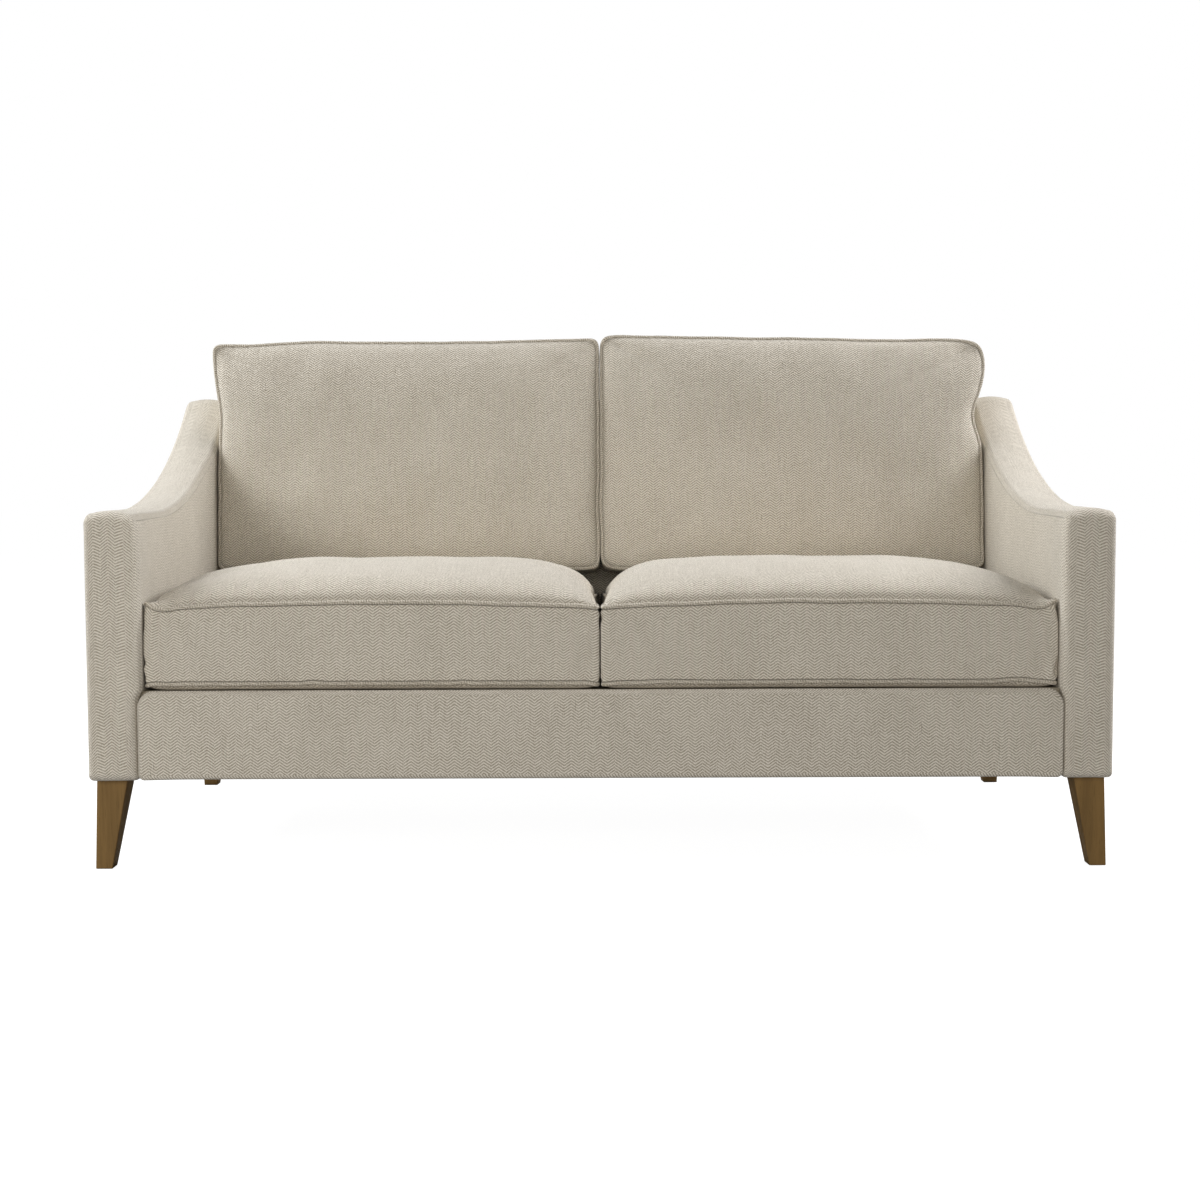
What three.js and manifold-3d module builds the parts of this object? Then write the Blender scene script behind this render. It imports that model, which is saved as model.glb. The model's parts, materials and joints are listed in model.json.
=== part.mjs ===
// A two-seat settee with slim arms that sweep up into the back, loose box cushions with piped edges and
// four splayed, tapered wooden legs. Millimetres, +Z up, front towards -Y. The origin is on the floor,
// under the middle of the settee. Left and right are as seen from the front, so left is towards -X.
import * as THREE from "three";
import { mergeGeometries, mergeVertices } from "three/addons/utils/BufferGeometryUtils.js";
import Module from "manifold-3d";

const wasm = await Module();
wasm.setup();

// Overall sizes
const WIDTH = 1720;
const DEPTH = 915;
const LEG_HEIGHT = 155;
const GAP = 0.3; // clearance between pieces that touch on the real settee
const OVERRUN = 30; // how far a cutting solid runs past what it cuts
const SHARP = 1; // the least corner radius

// Arms: a slab of constant thickness whose top sweeps up to the height of the back
const ARM_THICKNESS = 85;
const ARM_FRONT_HEIGHT = 608;
const ARM_TOP_SLOPE_DEG = 0.6;
const SWEEP_RADIUS = 917;
const CREST_RADIUS = 50;
const CREST_SETBACK = 126; // from the rear of the settee to where the crest turns level
const ARM_FRONT_CORNER = 20; // seen from the side
const ARM_BACK_CORNER = 20;
const ARM_FOOT_CORNER = 16;
const ARM_EDGE = 13; // roundness across the thickness
const ARM_FOOT_EDGE = 4;
const ARM_CROWN = 4; // rise of the arm's top in the middle of its thickness
const ARM_CROWN_FALL_SHARE = 0.25; // of the crown, lost halfway to the edge
const LEVEL_SHARES = [0.1, 0.9]; // how level a face lies where the top's shape begins and is reached
const COVER = 10; // fabric over its wadding
const PADDING = 12;
const ARM_RAIL_HEIGHT = 40;
const POST_THICKNESS = 50;
const FRONT_POST_DEPTH = 62;
const SIDE_RAIL_HEIGHT = 90;

// Back
const BACK_HEIGHT = 828;
const BACK_TOP_DEPTH = 110;
const OUTSIDE_BACK_RAKE_DEG = 2.3;
const BACK_RAKE_DEG = 6.3;
const BACK_TOP_ROUND = 22;
const OUTSIDE_BACK = 6;
const OUTSIDE_BACK_INSET = 8; // from the arms' outer faces and from the top
const BACK_FOAM = 30;
const WEBBING = 1.6;
const WEBBING_WIDTH = 60;
const WEBBING_UPRIGHTS = 6;
const WEBBING_CROSS_SHARES = [0.33, 0.63]; // of the way up from the deck to the top rail
const BACK_RAIL_THICKNESS = 30;
const BACK_TOP_RAIL_HEIGHT = 70;
const BACK_LOWER_RAIL_HEIGHT = 45;
const BACK_STILE_WIDTH = 44;

// Seat base
const DECK_HEIGHT = 306; // top of the platform at its front edge
const DECK_PITCH_DEG = 2;
const PLATFORM = 12;
const BORDER_THICKNESS = 22;
const BORDER_LIFT = 2.5; // of its foot above the arms' feet
const BORDER_EDGE = 8;
const BORDER_CORNER = 26;
const BORDER_FOOT_CORNER = 9;
const RAIL_THICKNESS = 28;
const RAIL_LIFT = 4; // of the cross rails' feet above the arms' feet
const REAR_RAIL_SETBACK = 12; // behind the front face of the back posts
const CENTRE_RAIL_WIDTH = 32;
const CENTRE_RAIL_HEIGHT = 48;
const CORNER_BLOCK = 70;
const CORNER_BLOCK_HEIGHT = 40;
const DUST_COVER = 1.2;

// Zig-zag seat springs
const SPRING_COUNT = 10;
const SPRING_BARS = 17;
const SPRING_WIDTH = 50;
const SPRING_BEND_SHARE = 0.3; // of a bar that belongs to its bends
const SPRING_WIRE = 3.8;
const CLIP_WIDTH = 62;
const CLIP_LENGTH = 16;
const CLIP_PLATE = 1.6;

// Legs and the hanger bolts that hold them
const LEG_TOP = 52.5;
const LEG_FOOT_WIDTH = 28.5;
const LEG_FOOT_DEPTH = 33;
const LEG_CHAMFER = 2;
const LEG_OUTER_INSET = 7.5; // from the arm's outer face to the top of the leg
const LEG_SPLAY = 6.5; // of the foot's outer edge past the top's
const FRONT_LEG_INSET = 30; // from the arm's front face
const FRONT_FOOT_INSET = 35;
const REAR_LEG_INSET = 50; // from the rearmost point
const REAR_FOOT_INSET = 10;
const BOLT_DIAMETER = 8;
const BOLT_IN_LEG = 40;
const BOLT_IN_POST = 50;
const BOLT_SIDES = 10;

// Cushions
const PIPING = 7; // diameter
const CUSHION_CLOTH = 2.5;
const CUSHION_CLEARANCE = 1.5; // to each neighbour, at the corners
const CUSHION_BULGE = 3; // of the boxing between its pipings
const FLARE_FROM_SHARE = 0.45; // of half the length: from here up the outer edge flares
const ZIP_OPENING = 6;
const ZIP_SHARE = 0.8; // of the side that it closes

const SEAT_SETBACK = 14; // from the arm's front face to the front piping
const SEAT_REAR_CLEARANCE = 5; // behind the seat cushion, at the foot of the inside back
const SEAT_BOXING = 139;
const SEAT_SEAM_BOW = 9; // rise of the upper piping in the middle of each side
const SEAT_CROWN = 72;
const SEAT_DRAW_IN = { inner: 9, outer: 7, ends: 7 }; // of the middle of each side
const SEAT_CORNER_POWER = 60; // of the superellipse of its outline
const SEAT_CROWN_POWERS = { inner: 3.6, outer: 3.2, front: 2.4, rear: 3 }; // higher: fuller towards that side
const SEAT_PEAK_SHARE = -0.3; // of half the depth: the crown's peak lies in front of the middle
const PRESSED_FROM_SHARE = 0.6; // of half the depth: from here back the back cushion presses the crown

const BACK_CUSHION_LIFT = 42; // of its underside over the seat cushion's boxing, on the pressed crown
const BACK_CUSHION_HEIGHTS = { left: 471, right: 480 };
const BACK_CUSHION_BOXING = 140;
const BACK_CUSHION_SEAM_BOW = 5;
const BACK_CUSHION_CROWN = 42;
const BACK_CUSHION_DRAW_IN = { inner: 1.5, outer: 3, ends: 4 };
const BACK_CUSHION_CORNER_POWER = 40;
const BACK_CUSHION_CROWN_POWERS = { inner: 3.6, outer: 2.2, front: 2.4, rear: 3 };
const BACK_CUSHION_FLARE = 16; // of the upper outer corner, over the arm
const BACK_CUSHION_SHOULDER = 8; // fall of the top edge towards the outer corner
const SHOULDER_SHARES = [0.3, 0.9]; // of half the width, where the fall begins and is reached

// Lines of the cushions' grids, as shares of half the side
const ACROSS_SHARES = [-1, -0.96, -0.86, -0.68, -0.38, 0, 0.38, 0.68, 0.86, 0.96, 1];
const SEAT_ALONG_SHARES = [-1, -0.96, -0.86, -0.66, -0.3, 0.1, 0.42, 0.6, 0.8, 0.94, 1];
// The piping and the cloth beside it, as shares of its diameter: out from the seam, and up from it
const LOWER_PIPING_SHARES = [[-0.5, 0], [0.25, 0], [0.7, 0.45], [0.4, 0.95], [0, 1.1]];
const UPPER_PIPING_SHARES = [[0, -0.6], [0.4, -0.5], [0.7, 0], [0.35, 0.5], [-0.2, 0.45], [-0.5, 0.1]];

const FABRIC = { color: 0xb9b0a0, roughness: 0.95, metalness: 0 };
const STAINED_WOOD = { color: 0x6c5538, roughness: 0.45, metalness: 0 };
const BEECH = { color: 0xcaa877, roughness: 0.7, metalness: 0 };
const FOAM = { color: 0xe8dfc4, roughness: 1, metalness: 0 };
const STEEL = { color: 0x8d9095, roughness: 0.4, metalness: 0.9 };
const STRAPS = { color: 0x6f6455, roughness: 0.9, metalness: 0 };
const LINING = { color: 0x26241f, roughness: 1, metalness: 0 };
const ZIP = { color: 0x9c9384, roughness: 0.7, metalness: 0 };

const half = WIDTH / 2;
const armInner = half - ARM_THICKNESS;
const postInner = half - COVER - POST_THICKNESS;
const postOuter = half - COVER - GAP;
const front = -DEPTH / 2;
const back = DEPTH / 2;
const sitWidth = armInner - GAP; // half the width between the arms
const frameInset = COVER + PADDING + 2 * GAP;
const deckPitch = THREE.MathUtils.degToRad(DECK_PITCH_DEG);
const backRake = THREE.MathUtils.degToRad(BACK_RAKE_DEG);
const outsideRake = THREE.MathUtils.degToRad(OUTSIDE_BACK_RAKE_DEG);
const armSlope = THREE.MathUtils.degToRad(ARM_TOP_SLOPE_DEG);

// Solids

const vec2 = (a, b) => new THREE.Vector2(a, b);

function solidOf(geometry) {
  const bare = geometry.clone();
  bare.deleteAttribute("normal");
  bare.deleteAttribute("uv");
  const merged = mergeVertices(bare, 1e-4);
  return new wasm.Manifold(
    new wasm.Mesh({
      numProp: 3,
      vertProperties: new Float32Array(merged.attributes.position.array),
      triVerts: new Uint32Array(merged.index.array),
    }),
  );
}

function geometryOf(solid) {
  const mesh = solid.getMesh();
  const geometry = new THREE.BufferGeometry();
  geometry.setAttribute("position", new THREE.BufferAttribute(mesh.vertProperties, 3));
  geometry.setIndex(new THREE.BufferAttribute(mesh.triVerts, 1));
  const flat = geometry.toNonIndexed();
  flat.computeVertexNormals();
  return flat;
}

function prism(points, depth) {
  return new THREE.ExtrudeGeometry(new THREE.Shape(points), { depth, bevelEnabled: false });
}

// A side view (y, z) carried along X.
function extrudeX(points, x0, x1) {
  const geometry = prism(points, x1 - x0);
  const turn = new THREE.Matrix4().makeBasis(
    new THREE.Vector3(0, 1, 0),
    new THREE.Vector3(0, 0, 1),
    new THREE.Vector3(1, 0, 0),
  );
  return solidOf(geometry.applyMatrix4(turn).translate(x0, 0, 0));
}

// A plan view (x, y) carried up.
function extrudeZ(points, z0, z1) {
  return solidOf(prism(points, z1 - z0).translate(0, 0, z0));
}

function block(x0, x1, y0, y1, z0, z1) {
  const geometry = new THREE.BoxGeometry(x1 - x0, y1 - y0, z1 - z0);
  return solidOf(geometry.translate((x0 + x1) / 2, (y0 + y1) / 2, (z0 + z1) / 2));
}

// Rings joined in order, each anticlockwise as seen from the end of the row. The ends are closed flat,
// unless the last is left open.
function loft(rings, closeLast = true) {
  const triangles = [];
  for (let k = 0; k + 1 < rings.length; k++) {
    const [a, b] = [rings[k], rings[k + 1]];
    a.forEach((_, i) => {
      const j = (i + 1) % a.length;
      triangles.push(a[i], a[j], b[i], a[j], b[j], b[i]);
    });
  }
  cap(rings[0]).forEach(([a, b, c]) => triangles.push(c, b, a));
  if (closeLast) cap(rings.at(-1)).forEach((corners) => triangles.push(...corners));
  return soup(triangles);
}

function soup(triangles) {
  return new THREE.BufferGeometry().setFromPoints(triangles);
}

function cap(ring) {
  const normal = new THREE.Vector3();
  ring.forEach((p, i) => normal.add(new THREE.Vector3().crossVectors(p, ring[(i + 1) % ring.length])));
  normal.normalize();
  const u = Math.abs(normal.x) > Math.SQRT1_2 ? new THREE.Vector3(0, 1, 0) : new THREE.Vector3(1, 0, 0);
  u.addScaledVector(normal, -u.dot(normal)).normalize();
  const v = new THREE.Vector3().crossVectors(normal, u);
  const flat = ring.map((p) => vec2(p.dot(u), p.dot(v)));
  return THREE.ShapeUtils.triangulateShape(flat, []).map((face) => face.map((i) => ring[i]));
}

function mirrored(geometry) {
  const flipped = geometry.clone().scale(-1, 1, 1);
  const p = flipped.attributes.position;
  for (let i = 0; i < p.count; i += 3) {
    const [b, c] = [1, 2].map((k) => new THREE.Vector3().fromBufferAttribute(p, i + k));
    p.setXYZ(i + 1, c.x, c.y, c.z);
    p.setXYZ(i + 2, b.x, b.y, b.z);
  }
  flipped.computeVertexNormals();
  return flipped;
}

const settee = new THREE.Group();

function add(name, solid, look, mirror = false) {
  const geometry = geometryOf(solid);
  const piece = new THREE.Mesh(mirror ? mirrored(geometry) : geometry, new THREE.MeshStandardMaterial(look));
  piece.name = name;
  settee.add(piece);
}

// Pieces of an arm are drawn on the right side, and the left one is the mirror image.
function addPair(name, solid, look) {
  add(`${name}_right`, solid, look);
  add(`${name}_left`, solid, look, true);
}

// Outlines of straight lines and arcs, walked clockwise with the inside on the right

function line(point, direction, inset = 0) {
  const u = direction.clone().normalize();
  const inward = vec2(u.y, -u.x);
  return { p: point.clone().addScaledVector(inward, inset), u, inward };
}

function crossing(a, b) {
  const d = b.p.clone().sub(a.p);
  return a.p.clone().addScaledVector(a.u, d.cross(b.u) / a.u.cross(b.u));
}

function arc(centre, radius, from, to, steps, outward = 1) {
  return Array.from({ length: steps + 1 }, (_, i) => {
    const angle = from + ((to - from) * i) / steps;
    const n = vec2(Math.cos(angle), Math.sin(angle));
    return { p: centre.clone().addScaledVector(n, radius), n: n.multiplyScalar(outward) };
  });
}

function corner(a, b, radius, steps) {
  const centre = crossing(line(a.p, a.u, radius), line(b.p, b.u, radius));
  const from = Math.atan2(-a.inward.y, -a.inward.x);
  const to = Math.atan2(-b.inward.y, -b.inward.x);
  return arc(centre, radius, from, to > from ? to - 2 * Math.PI : to, steps);
}

const insetRadius = (radius, inset) => Math.max(radius - inset, SHARP);
const points = (outline) => outline.map((o) => o.p);
const up = vec2(0, 1);
const backward = vec2(1, 0);
const forward = vec2(-1, 0);
const downOutside = vec2(-Math.sin(outsideRake), -Math.cos(outsideRake));
const outsideBackTop = BACK_HEIGHT - OUTSIDE_BACK_INSET;
const rearOfFrame = (inset) => line(vec2(back - OUTSIDE_BACK - GAP, outsideBackTop), downOutside, inset);

// Side view of an arm, drawn in from the outside by inset
function armOutline(inset, footZ = LEG_HEIGHT + inset) {
  const slope = vec2(Math.cos(armSlope), Math.sin(armSlope));
  const frontLine = line(vec2(front, LEG_HEIGHT), up, inset);
  const topLine = line(vec2(front, ARM_FRONT_HEIGHT), slope, inset);
  const flatLine = line(vec2(front, BACK_HEIGHT), backward, inset);
  const rearLine = rearOfFrame(inset);
  const footLine = line(vec2(back, footZ), forward);
  return [
    ...corner(footLine, frontLine, insetRadius(ARM_FOOT_CORNER, inset), 2),
    ...corner(frontLine, topLine, insetRadius(ARM_FRONT_CORNER, inset), 4),
    ...sweep(inset),
    ...corner(flatLine, rearLine, insetRadius(ARM_BACK_CORNER, inset), 3),
    ...corner(rearLine, footLine, insetRadius(ARM_FOOT_CORNER, inset), 2),
  ];
}

// The hollow arc leaves the arm's top smoothly and rolls over the round crest.
function sweep(inset) {
  const u = vec2(Math.cos(armSlope), Math.sin(armSlope));
  const crest = vec2(back - CREST_SETBACK, BACK_HEIGHT - CREST_RADIUS);
  const w = vec2(front, ARM_FRONT_HEIGHT).add(vec2(-u.y, u.x).multiplyScalar(SWEEP_RADIUS)).sub(crest);
  const along = w.dot(u);
  const reach = (SWEEP_RADIUS + CREST_RADIUS) ** 2 - w.lengthSq() + along ** 2;
  const centre = crest.clone().add(w).addScaledVector(u, -along - Math.sqrt(reach));
  const toCrest = Math.atan2(crest.y - centre.y, crest.x - centre.x);
  const from = armSlope - Math.PI / 2;
  const radius = SWEEP_RADIUS + inset;
  if (inset + SHARP > CREST_RADIUS) {
    const toFlat = Math.asin((BACK_HEIGHT - inset - centre.y) / radius);
    return arc(centre, radius, from, toFlat, 9, -1);
  }
  return [
    ...arc(centre, radius, from, toCrest, 9, -1),
    ...arc(crest, CREST_RADIUS - inset, toCrest + Math.PI, Math.PI / 2, 4).slice(1),
  ];
}

// Side view of the back between its inside face and the outside panel
function backOutline({ frontInset, topInset, rearInset, footZ, round = SHARP }) {
  const upInside = vec2(Math.sin(backRake), Math.cos(backRake));
  const insideLine = line(vec2(insideFaceAt(footZ), footZ), upInside, frontInset);
  const topLine = line(vec2(front, BACK_HEIGHT - topInset), backward);
  const rearLine = rearOfFrame(rearInset);
  const footLine = line(vec2(back, footZ), forward);
  return [
    ...points(corner(insideLine, topLine, round, 4)),
    crossing(topLine, rearLine),
    crossing(rearLine, footLine),
    crossing(footLine, insideLine),
  ];
}

const insideFaceAt = (z) => back - BACK_TOP_DEPTH - (BACK_HEIGHT - z) * Math.tan(backRake);
const postFrontInset = COVER + BACK_FOAM;
const backPostFront = (z) => insideFaceAt(z) + postFrontInset / Math.cos(backRake);
const deckTopAt = (y) => DECK_HEIGHT - (y - front) * Math.tan(deckPitch);
// Where the platform's top meets the inside back
const deckRear =
  (insideFaceAt(DECK_HEIGHT) + front * Math.tan(deckPitch) * Math.tan(backRake)) /
  (1 + Math.tan(deckPitch) * Math.tan(backRake));
const deckBottomAt = (y) => deckTopAt(y) - PLATFORM / Math.cos(deckPitch);
const railTopAt = (y) => deckBottomAt(y) - (SPRING_WIRE + 2 * CLIP_PLATE + 2 * GAP) / Math.cos(deckPitch);
const railFoot = LEG_HEIGHT + RAIL_LIFT;

// Arms

function armCover() {
  const outline = armOutline(0);
  const middle = half - ARM_THICKNESS / 2;
  const ring = (x, { out, turn }) =>
    outline.map(({ p, n }) => {
      const top = THREE.MathUtils.smoothstep(n.y, ...LEVEL_SHARES);
      const foot = THREE.MathUtils.smoothstep(-n.y, ...LEVEL_SHARES);
      const edge = THREE.MathUtils.lerp(ARM_EDGE, ARM_FOOT_EDGE, foot);
      const inset = edge * (1 - Math.sin(turn)) + ARM_CROWN * top * out;
      const q = p.clone().addScaledVector(n, -inset);
      return new THREE.Vector3(x + Math.sign(middle - x) * edge * (1 - Math.cos(turn)), q.x, q.y);
    });
  const turns = [0, 1, 2, 3].map((k) => (k * Math.PI) / 6);
  const rings = [
    ...turns.map((turn) => ring(half, { out: 1, turn })),
    ring((middle + half) / 2, { out: ARM_CROWN_FALL_SHARE, turn: Math.PI / 2 }),
    ring(middle, { out: 0, turn: Math.PI / 2 }),
    ring((middle + armInner) / 2, { out: ARM_CROWN_FALL_SHARE, turn: Math.PI / 2 }),
    ...turns.map((turn) => ring(armInner, { out: 1, turn })).reverse(),
  ];
  const hollow = extrudeX(points(armOutline(COVER, LEG_HEIGHT - OVERRUN)), armInner + COVER, half - COVER);
  return solidOf(loft(rings)).subtract(hollow).subtract(seatBoxMouth()).subtract(railPassages());
}

// Below the deck the inside of the arm is open, and the seat's rails and corner blocks reach its frame.
function seatBoxMouth() {
  const [z0, z1] = [LEG_HEIGHT - OVERRUN, deckBottomAt(rearRailFront()) - GAP];
  return block(armInner - OVERRUN, postInner, front + BORDER_THICKNESS, back + OVERRUN, z0, z1);
}

// The cross rails, with clearance, where they pass through the inside of the arm
function railPassages() {
  return [frontRailSection(GAP), backTopRailSection(GAP), backLowerRailSection(GAP)]
    .map((section) => extrudeX(section, armInner - OVERRUN, postInner))
    .reduce((a, b) => a.add(b));
}

function behindPostFront(topInset) {
  const outline = backOutline({
    frontInset: postFrontInset - GAP,
    topInset,
    rearInset: -OVERRUN,
    footZ: LEG_HEIGHT - OVERRUN,
  });
  return extrudeX(outline, postInner - GAP, postOuter + OVERRUN);
}

function armPadding() {
  return extrudeX(points(armOutline(COVER + GAP)), armInner + COVER + GAP, postOuter)
    .subtract(extrudeX(points(armOutline(frameInset - GAP, 0)), postInner - GAP, postOuter + OVERRUN))
    .subtract(behindPostFront(frameInset - GAP))
    .subtract(seatBoxMouth())
    .subtract(railPassages());
}

const armRailFoot = ARM_FRONT_HEIGHT - frameInset - ARM_RAIL_HEIGHT - COVER;

function armTopRail() {
  return extrudeX(points(armOutline(frameInset)), postInner, postOuter)
    .subtract(extrudeX(points(armOutline(frameInset + ARM_RAIL_HEIGHT)), armInner, half))
    .intersect(block(0, WIDTH, front, back, armRailFoot, BACK_HEIGHT))
    .subtract(behindPostFront(-OVERRUN));
}

function frontPost() {
  const y0 = front + frameInset;
  return block(postInner, postOuter, y0, y0 + FRONT_POST_DEPTH, LEG_HEIGHT, armRailFoot - GAP)
    .subtract(bolt(frontLeg, GAP));
}

function backPost() {
  const outline = backOutline({
    frontInset: postFrontInset,
    topInset: frameInset,
    rearInset: COVER + GAP,
    footZ: LEG_HEIGHT,
  });
  return extrudeX(outline, postInner, postOuter).subtract(bolt(rearLeg, GAP));
}

function sideRail() {
  const y0 = front + frameInset + FRONT_POST_DEPTH + GAP;
  return block(postInner, postOuter, y0, rearRailFront(), LEG_HEIGHT, LEG_HEIGHT + SIDE_RAIL_HEIGHT)
    .subtract(behindPostFront(-OVERRUN));
}

// Legs. Each has a straight top on the post and a smaller foot, splayed out and, at the rear, back.

const legTopX = half - LEG_OUTER_INSET - LEG_TOP / 2;
const frontLeg = {
  x: legTopX,
  y: front + FRONT_LEG_INSET + LEG_TOP / 2,
  footY: front + FRONT_FOOT_INSET + LEG_FOOT_DEPTH / 2,
};
const rearLeg = {
  x: legTopX,
  y: back - REAR_LEG_INSET - LEG_TOP / 2,
  footY: back - REAR_FOOT_INSET - LEG_FOOT_DEPTH / 2,
};

function leg(place) {
  const footX = half - LEG_OUTER_INSET + LEG_SPLAY - LEG_FOOT_WIDTH / 2;
  const ring = (x, y, width, depth, z) => {
    const [a, b, c] = [width / 2, depth / 2, LEG_CHAMFER];
    const corners = [
      [a - c, -b], [a, c - b], [a, b - c], [a - c, b], [c - a, b], [-a, b - c], [-a, c - b], [c - a, -b],
    ];
    return corners.map(([dx, dy]) => new THREE.Vector3(x + dx, y + dy, z));
  };
  const foot = ring(footX, place.footY, LEG_FOOT_WIDTH, LEG_FOOT_DEPTH, 0);
  const top = ring(place.x, place.y, LEG_TOP, LEG_TOP, LEG_HEIGHT - GAP);
  return solidOf(loft([foot, top])).subtract(bolt(place, GAP));
}

function bolt({ x, y }, clearance = 0) {
  const z0 = LEG_HEIGHT - BOLT_IN_LEG - clearance;
  const z1 = LEG_HEIGHT + BOLT_IN_POST + clearance;
  const radius = BOLT_DIAMETER / 2 + clearance;
  const geometry = new THREE.CylinderGeometry(radius, radius, z1 - z0, BOLT_SIDES);
  return solidOf(geometry.rotateX(Math.PI / 2).translate(x, y, (z0 + z1) / 2));
}

// Seat base

function frontRailSection(clearance) {
  const y0 = front + BORDER_THICKNESS + GAP - clearance;
  const y1 = y0 + RAIL_THICKNESS + 2 * clearance;
  const top = railTopAt(front + BORDER_THICKNESS + RAIL_THICKNESS) + clearance;
  const foot = railFoot - clearance;
  return [vec2(y0, foot), vec2(y0, top), vec2(y1, top), vec2(y1, foot)];
}

const frontRailRear = front + BORDER_THICKNESS + GAP + RAIL_THICKNESS;
const rearRailFront = () => backPostFront(LEG_HEIGHT) + REAR_RAIL_SETBACK;

const crossRail = (section) => extrudeX(section, GAP - postInner, postInner - GAP);

function rearRail() {
  const y0 = rearRailFront();
  const y1 = y0 + RAIL_THICKNESS;
  return block(GAP - postInner, postInner - GAP, y0, y1, railFoot, railTopAt(y1));
}

function centreRail() {
  const top = railTopAt(rearRailFront()) - CLIP_PLATE;
  const x = CENTRE_RAIL_WIDTH / 2;
  return block(-x, x, frontRailRear + GAP, rearRailFront() - GAP, top - CENTRE_RAIL_HEIGHT, top);
}

function cornerBlock(y, direction) {
  const x = postInner - GAP;
  const corners = [vec2(x, y), vec2(x, y + direction * CORNER_BLOCK), vec2(x - CORNER_BLOCK, y)];
  return extrudeZ(corners, railFoot, railFoot + CORNER_BLOCK_HEIGHT);
}

function platform() {
  const y0 = front + BORDER_THICKNESS + GAP;
  const y1 = rearRailFront() + RAIL_THICKNESS;
  const section = [
    vec2(y0, deckBottomAt(y0)), vec2(y0, deckTopAt(y0)), vec2(y1, deckTopAt(y1)), vec2(y1, deckBottomAt(y1)),
  ];
  return extrudeX(section, -sitWidth, sitWidth);
}

// The outline has soft upper corners, and its front edges roll back.
function border() {
  const ring = (y, inset) => {
    const left = line(vec2(-sitWidth, 0), up, inset);
    const top = line(vec2(0, deckTopAt(front + BORDER_THICKNESS)), backward, inset);
    const right = line(vec2(sitWidth, 0), up.clone().negate(), inset);
    const foot = line(vec2(0, LEG_HEIGHT + BORDER_LIFT), forward, inset);
    const outline = points([
      ...corner(left, top, insetRadius(BORDER_CORNER, inset), 4),
      ...corner(top, right, insetRadius(BORDER_CORNER, inset), 4),
      ...corner(right, foot, insetRadius(BORDER_FOOT_CORNER, inset), 2),
      ...corner(foot, left, insetRadius(BORDER_FOOT_CORNER, inset), 2),
    ]);
    return outline.map((p) => new THREE.Vector3(p.x, y, p.y));
  };
  const rolled = [3, 2, 1, 0].map((k) => {
    const turn = (k * Math.PI) / 6;
    return ring(front + BORDER_EDGE * (1 - Math.sin(turn)), BORDER_EDGE * (1 - Math.cos(turn)));
  });
  const rings = [...rolled, ring(front + BORDER_THICKNESS, 0)];
  return solidOf(loft(rings));
}

function dustCover() {
  const y0 = front + BORDER_THICKNESS + GAP;
  const z1 = railFoot - GAP;
  const y1 = crossing(rearOfFrame(COVER), line(vec2(0, z1 - DUST_COVER), backward)).x;
  return block(GAP - postInner, postInner - GAP, y0, y1, z1 - DUST_COVER, z1);
}

// A wire of bars across the seat joined by bends, with a clip round the bar at each end
function spring(x) {
  const yFirst = front + BORDER_THICKNESS + GAP + RAIL_THICKNESS / 2;
  const yLast = rearRailFront() + RAIL_THICKNESS / 2;
  const pitch = (yLast - yFirst) / Math.cos(deckPitch) / (SPRING_BARS - 1);
  const reach = SPRING_WIDTH / 2;
  const straight = reach * (1 - SPRING_BEND_SHARE);
  const path = [vec2(-reach, 0)];
  for (let k = 0; k < SPRING_BARS; k++) {
    const side = k % 2 ? -1 : 1;
    const last = k + 1 === SPRING_BARS;
    if (k > 0) path.push(vec2(-side * straight, k * pitch));
    path.push(vec2(side * (last ? reach : straight), k * pitch));
    if (!last) path.push(vec2(side * reach, (k + 0.5) * pitch));
  }
  const clip = new THREE.BoxGeometry(CLIP_WIDTH, CLIP_LENGTH, SPRING_WIRE + 2 * CLIP_PLATE);
  const parts = [0, (SPRING_BARS - 1) * pitch].map((y) => solidOf(clip.clone().translate(0, y, 0)));
  const flat = parts.reduce((a, b) => a.add(b), solidOf(flatWire(path, SPRING_WIRE / 2)));
  const drop = (PLATFORM + GAP + CLIP_PLATE + SPRING_WIRE / 2) / Math.cos(deckPitch);
  const place = new THREE.Matrix4().makeRotationX(-deckPitch);
  place.setPosition(x, yFirst, deckTopAt(yFirst) - drop);
  return solidOf(geometryOf(flat).applyMatrix4(place));
}

// A wire of four sides along a path in the plane, mitred at its points
function flatWire(path, radius) {
  const rings = path.map((p, i) => {
    const before = p.clone().sub(path[Math.max(i - 1, 0)]).normalize();
    const after = path[Math.min(i + 1, path.length - 1)].clone().sub(p).normalize();
    const along = before.clone().add(after).normalize();
    const lean = i === 0 || i + 1 === path.length ? 1 : along.dot(after);
    const side = new THREE.Vector3(along.y, -along.x, 0).multiplyScalar(radius / lean);
    const rise = new THREE.Vector3(0, 0, radius);
    const centre = new THREE.Vector3(p.x, p.y, 0);
    return [rise, side, rise.clone().negate(), side.clone().negate()].map((o) => centre.clone().add(o));
  });
  return loft(rings);
}

// Back

// Side view of a rail or strap that lies parallel to the inside face, from one height to another
function backBand(near, thickness, from, to, clearance = 0) {
  const face = (inset, z) => insideFaceAt(z) + inset / Math.cos(backRake);
  const [n, f] = [near - clearance, near + thickness + clearance];
  const [z0, z1] = [from - clearance, to + clearance];
  return [vec2(face(n, z0), z0), vec2(face(n, z1), z1), vec2(face(f, z1), z1), vec2(face(f, z0), z0)];
}

const webbingInset = postFrontInset + GAP;
const backRailInset = webbingInset + WEBBING + GAP;
const topRailTop = BACK_HEIGHT - frameInset;
const topRailFoot = topRailTop - BACK_TOP_RAIL_HEIGHT;
const lowerRailTop = DECK_HEIGHT + BACK_LOWER_RAIL_HEIGHT;

function backTopRailSection(clearance) {
  return backBand(backRailInset, BACK_RAIL_THICKNESS, topRailFoot, topRailTop, clearance);
}

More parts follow.
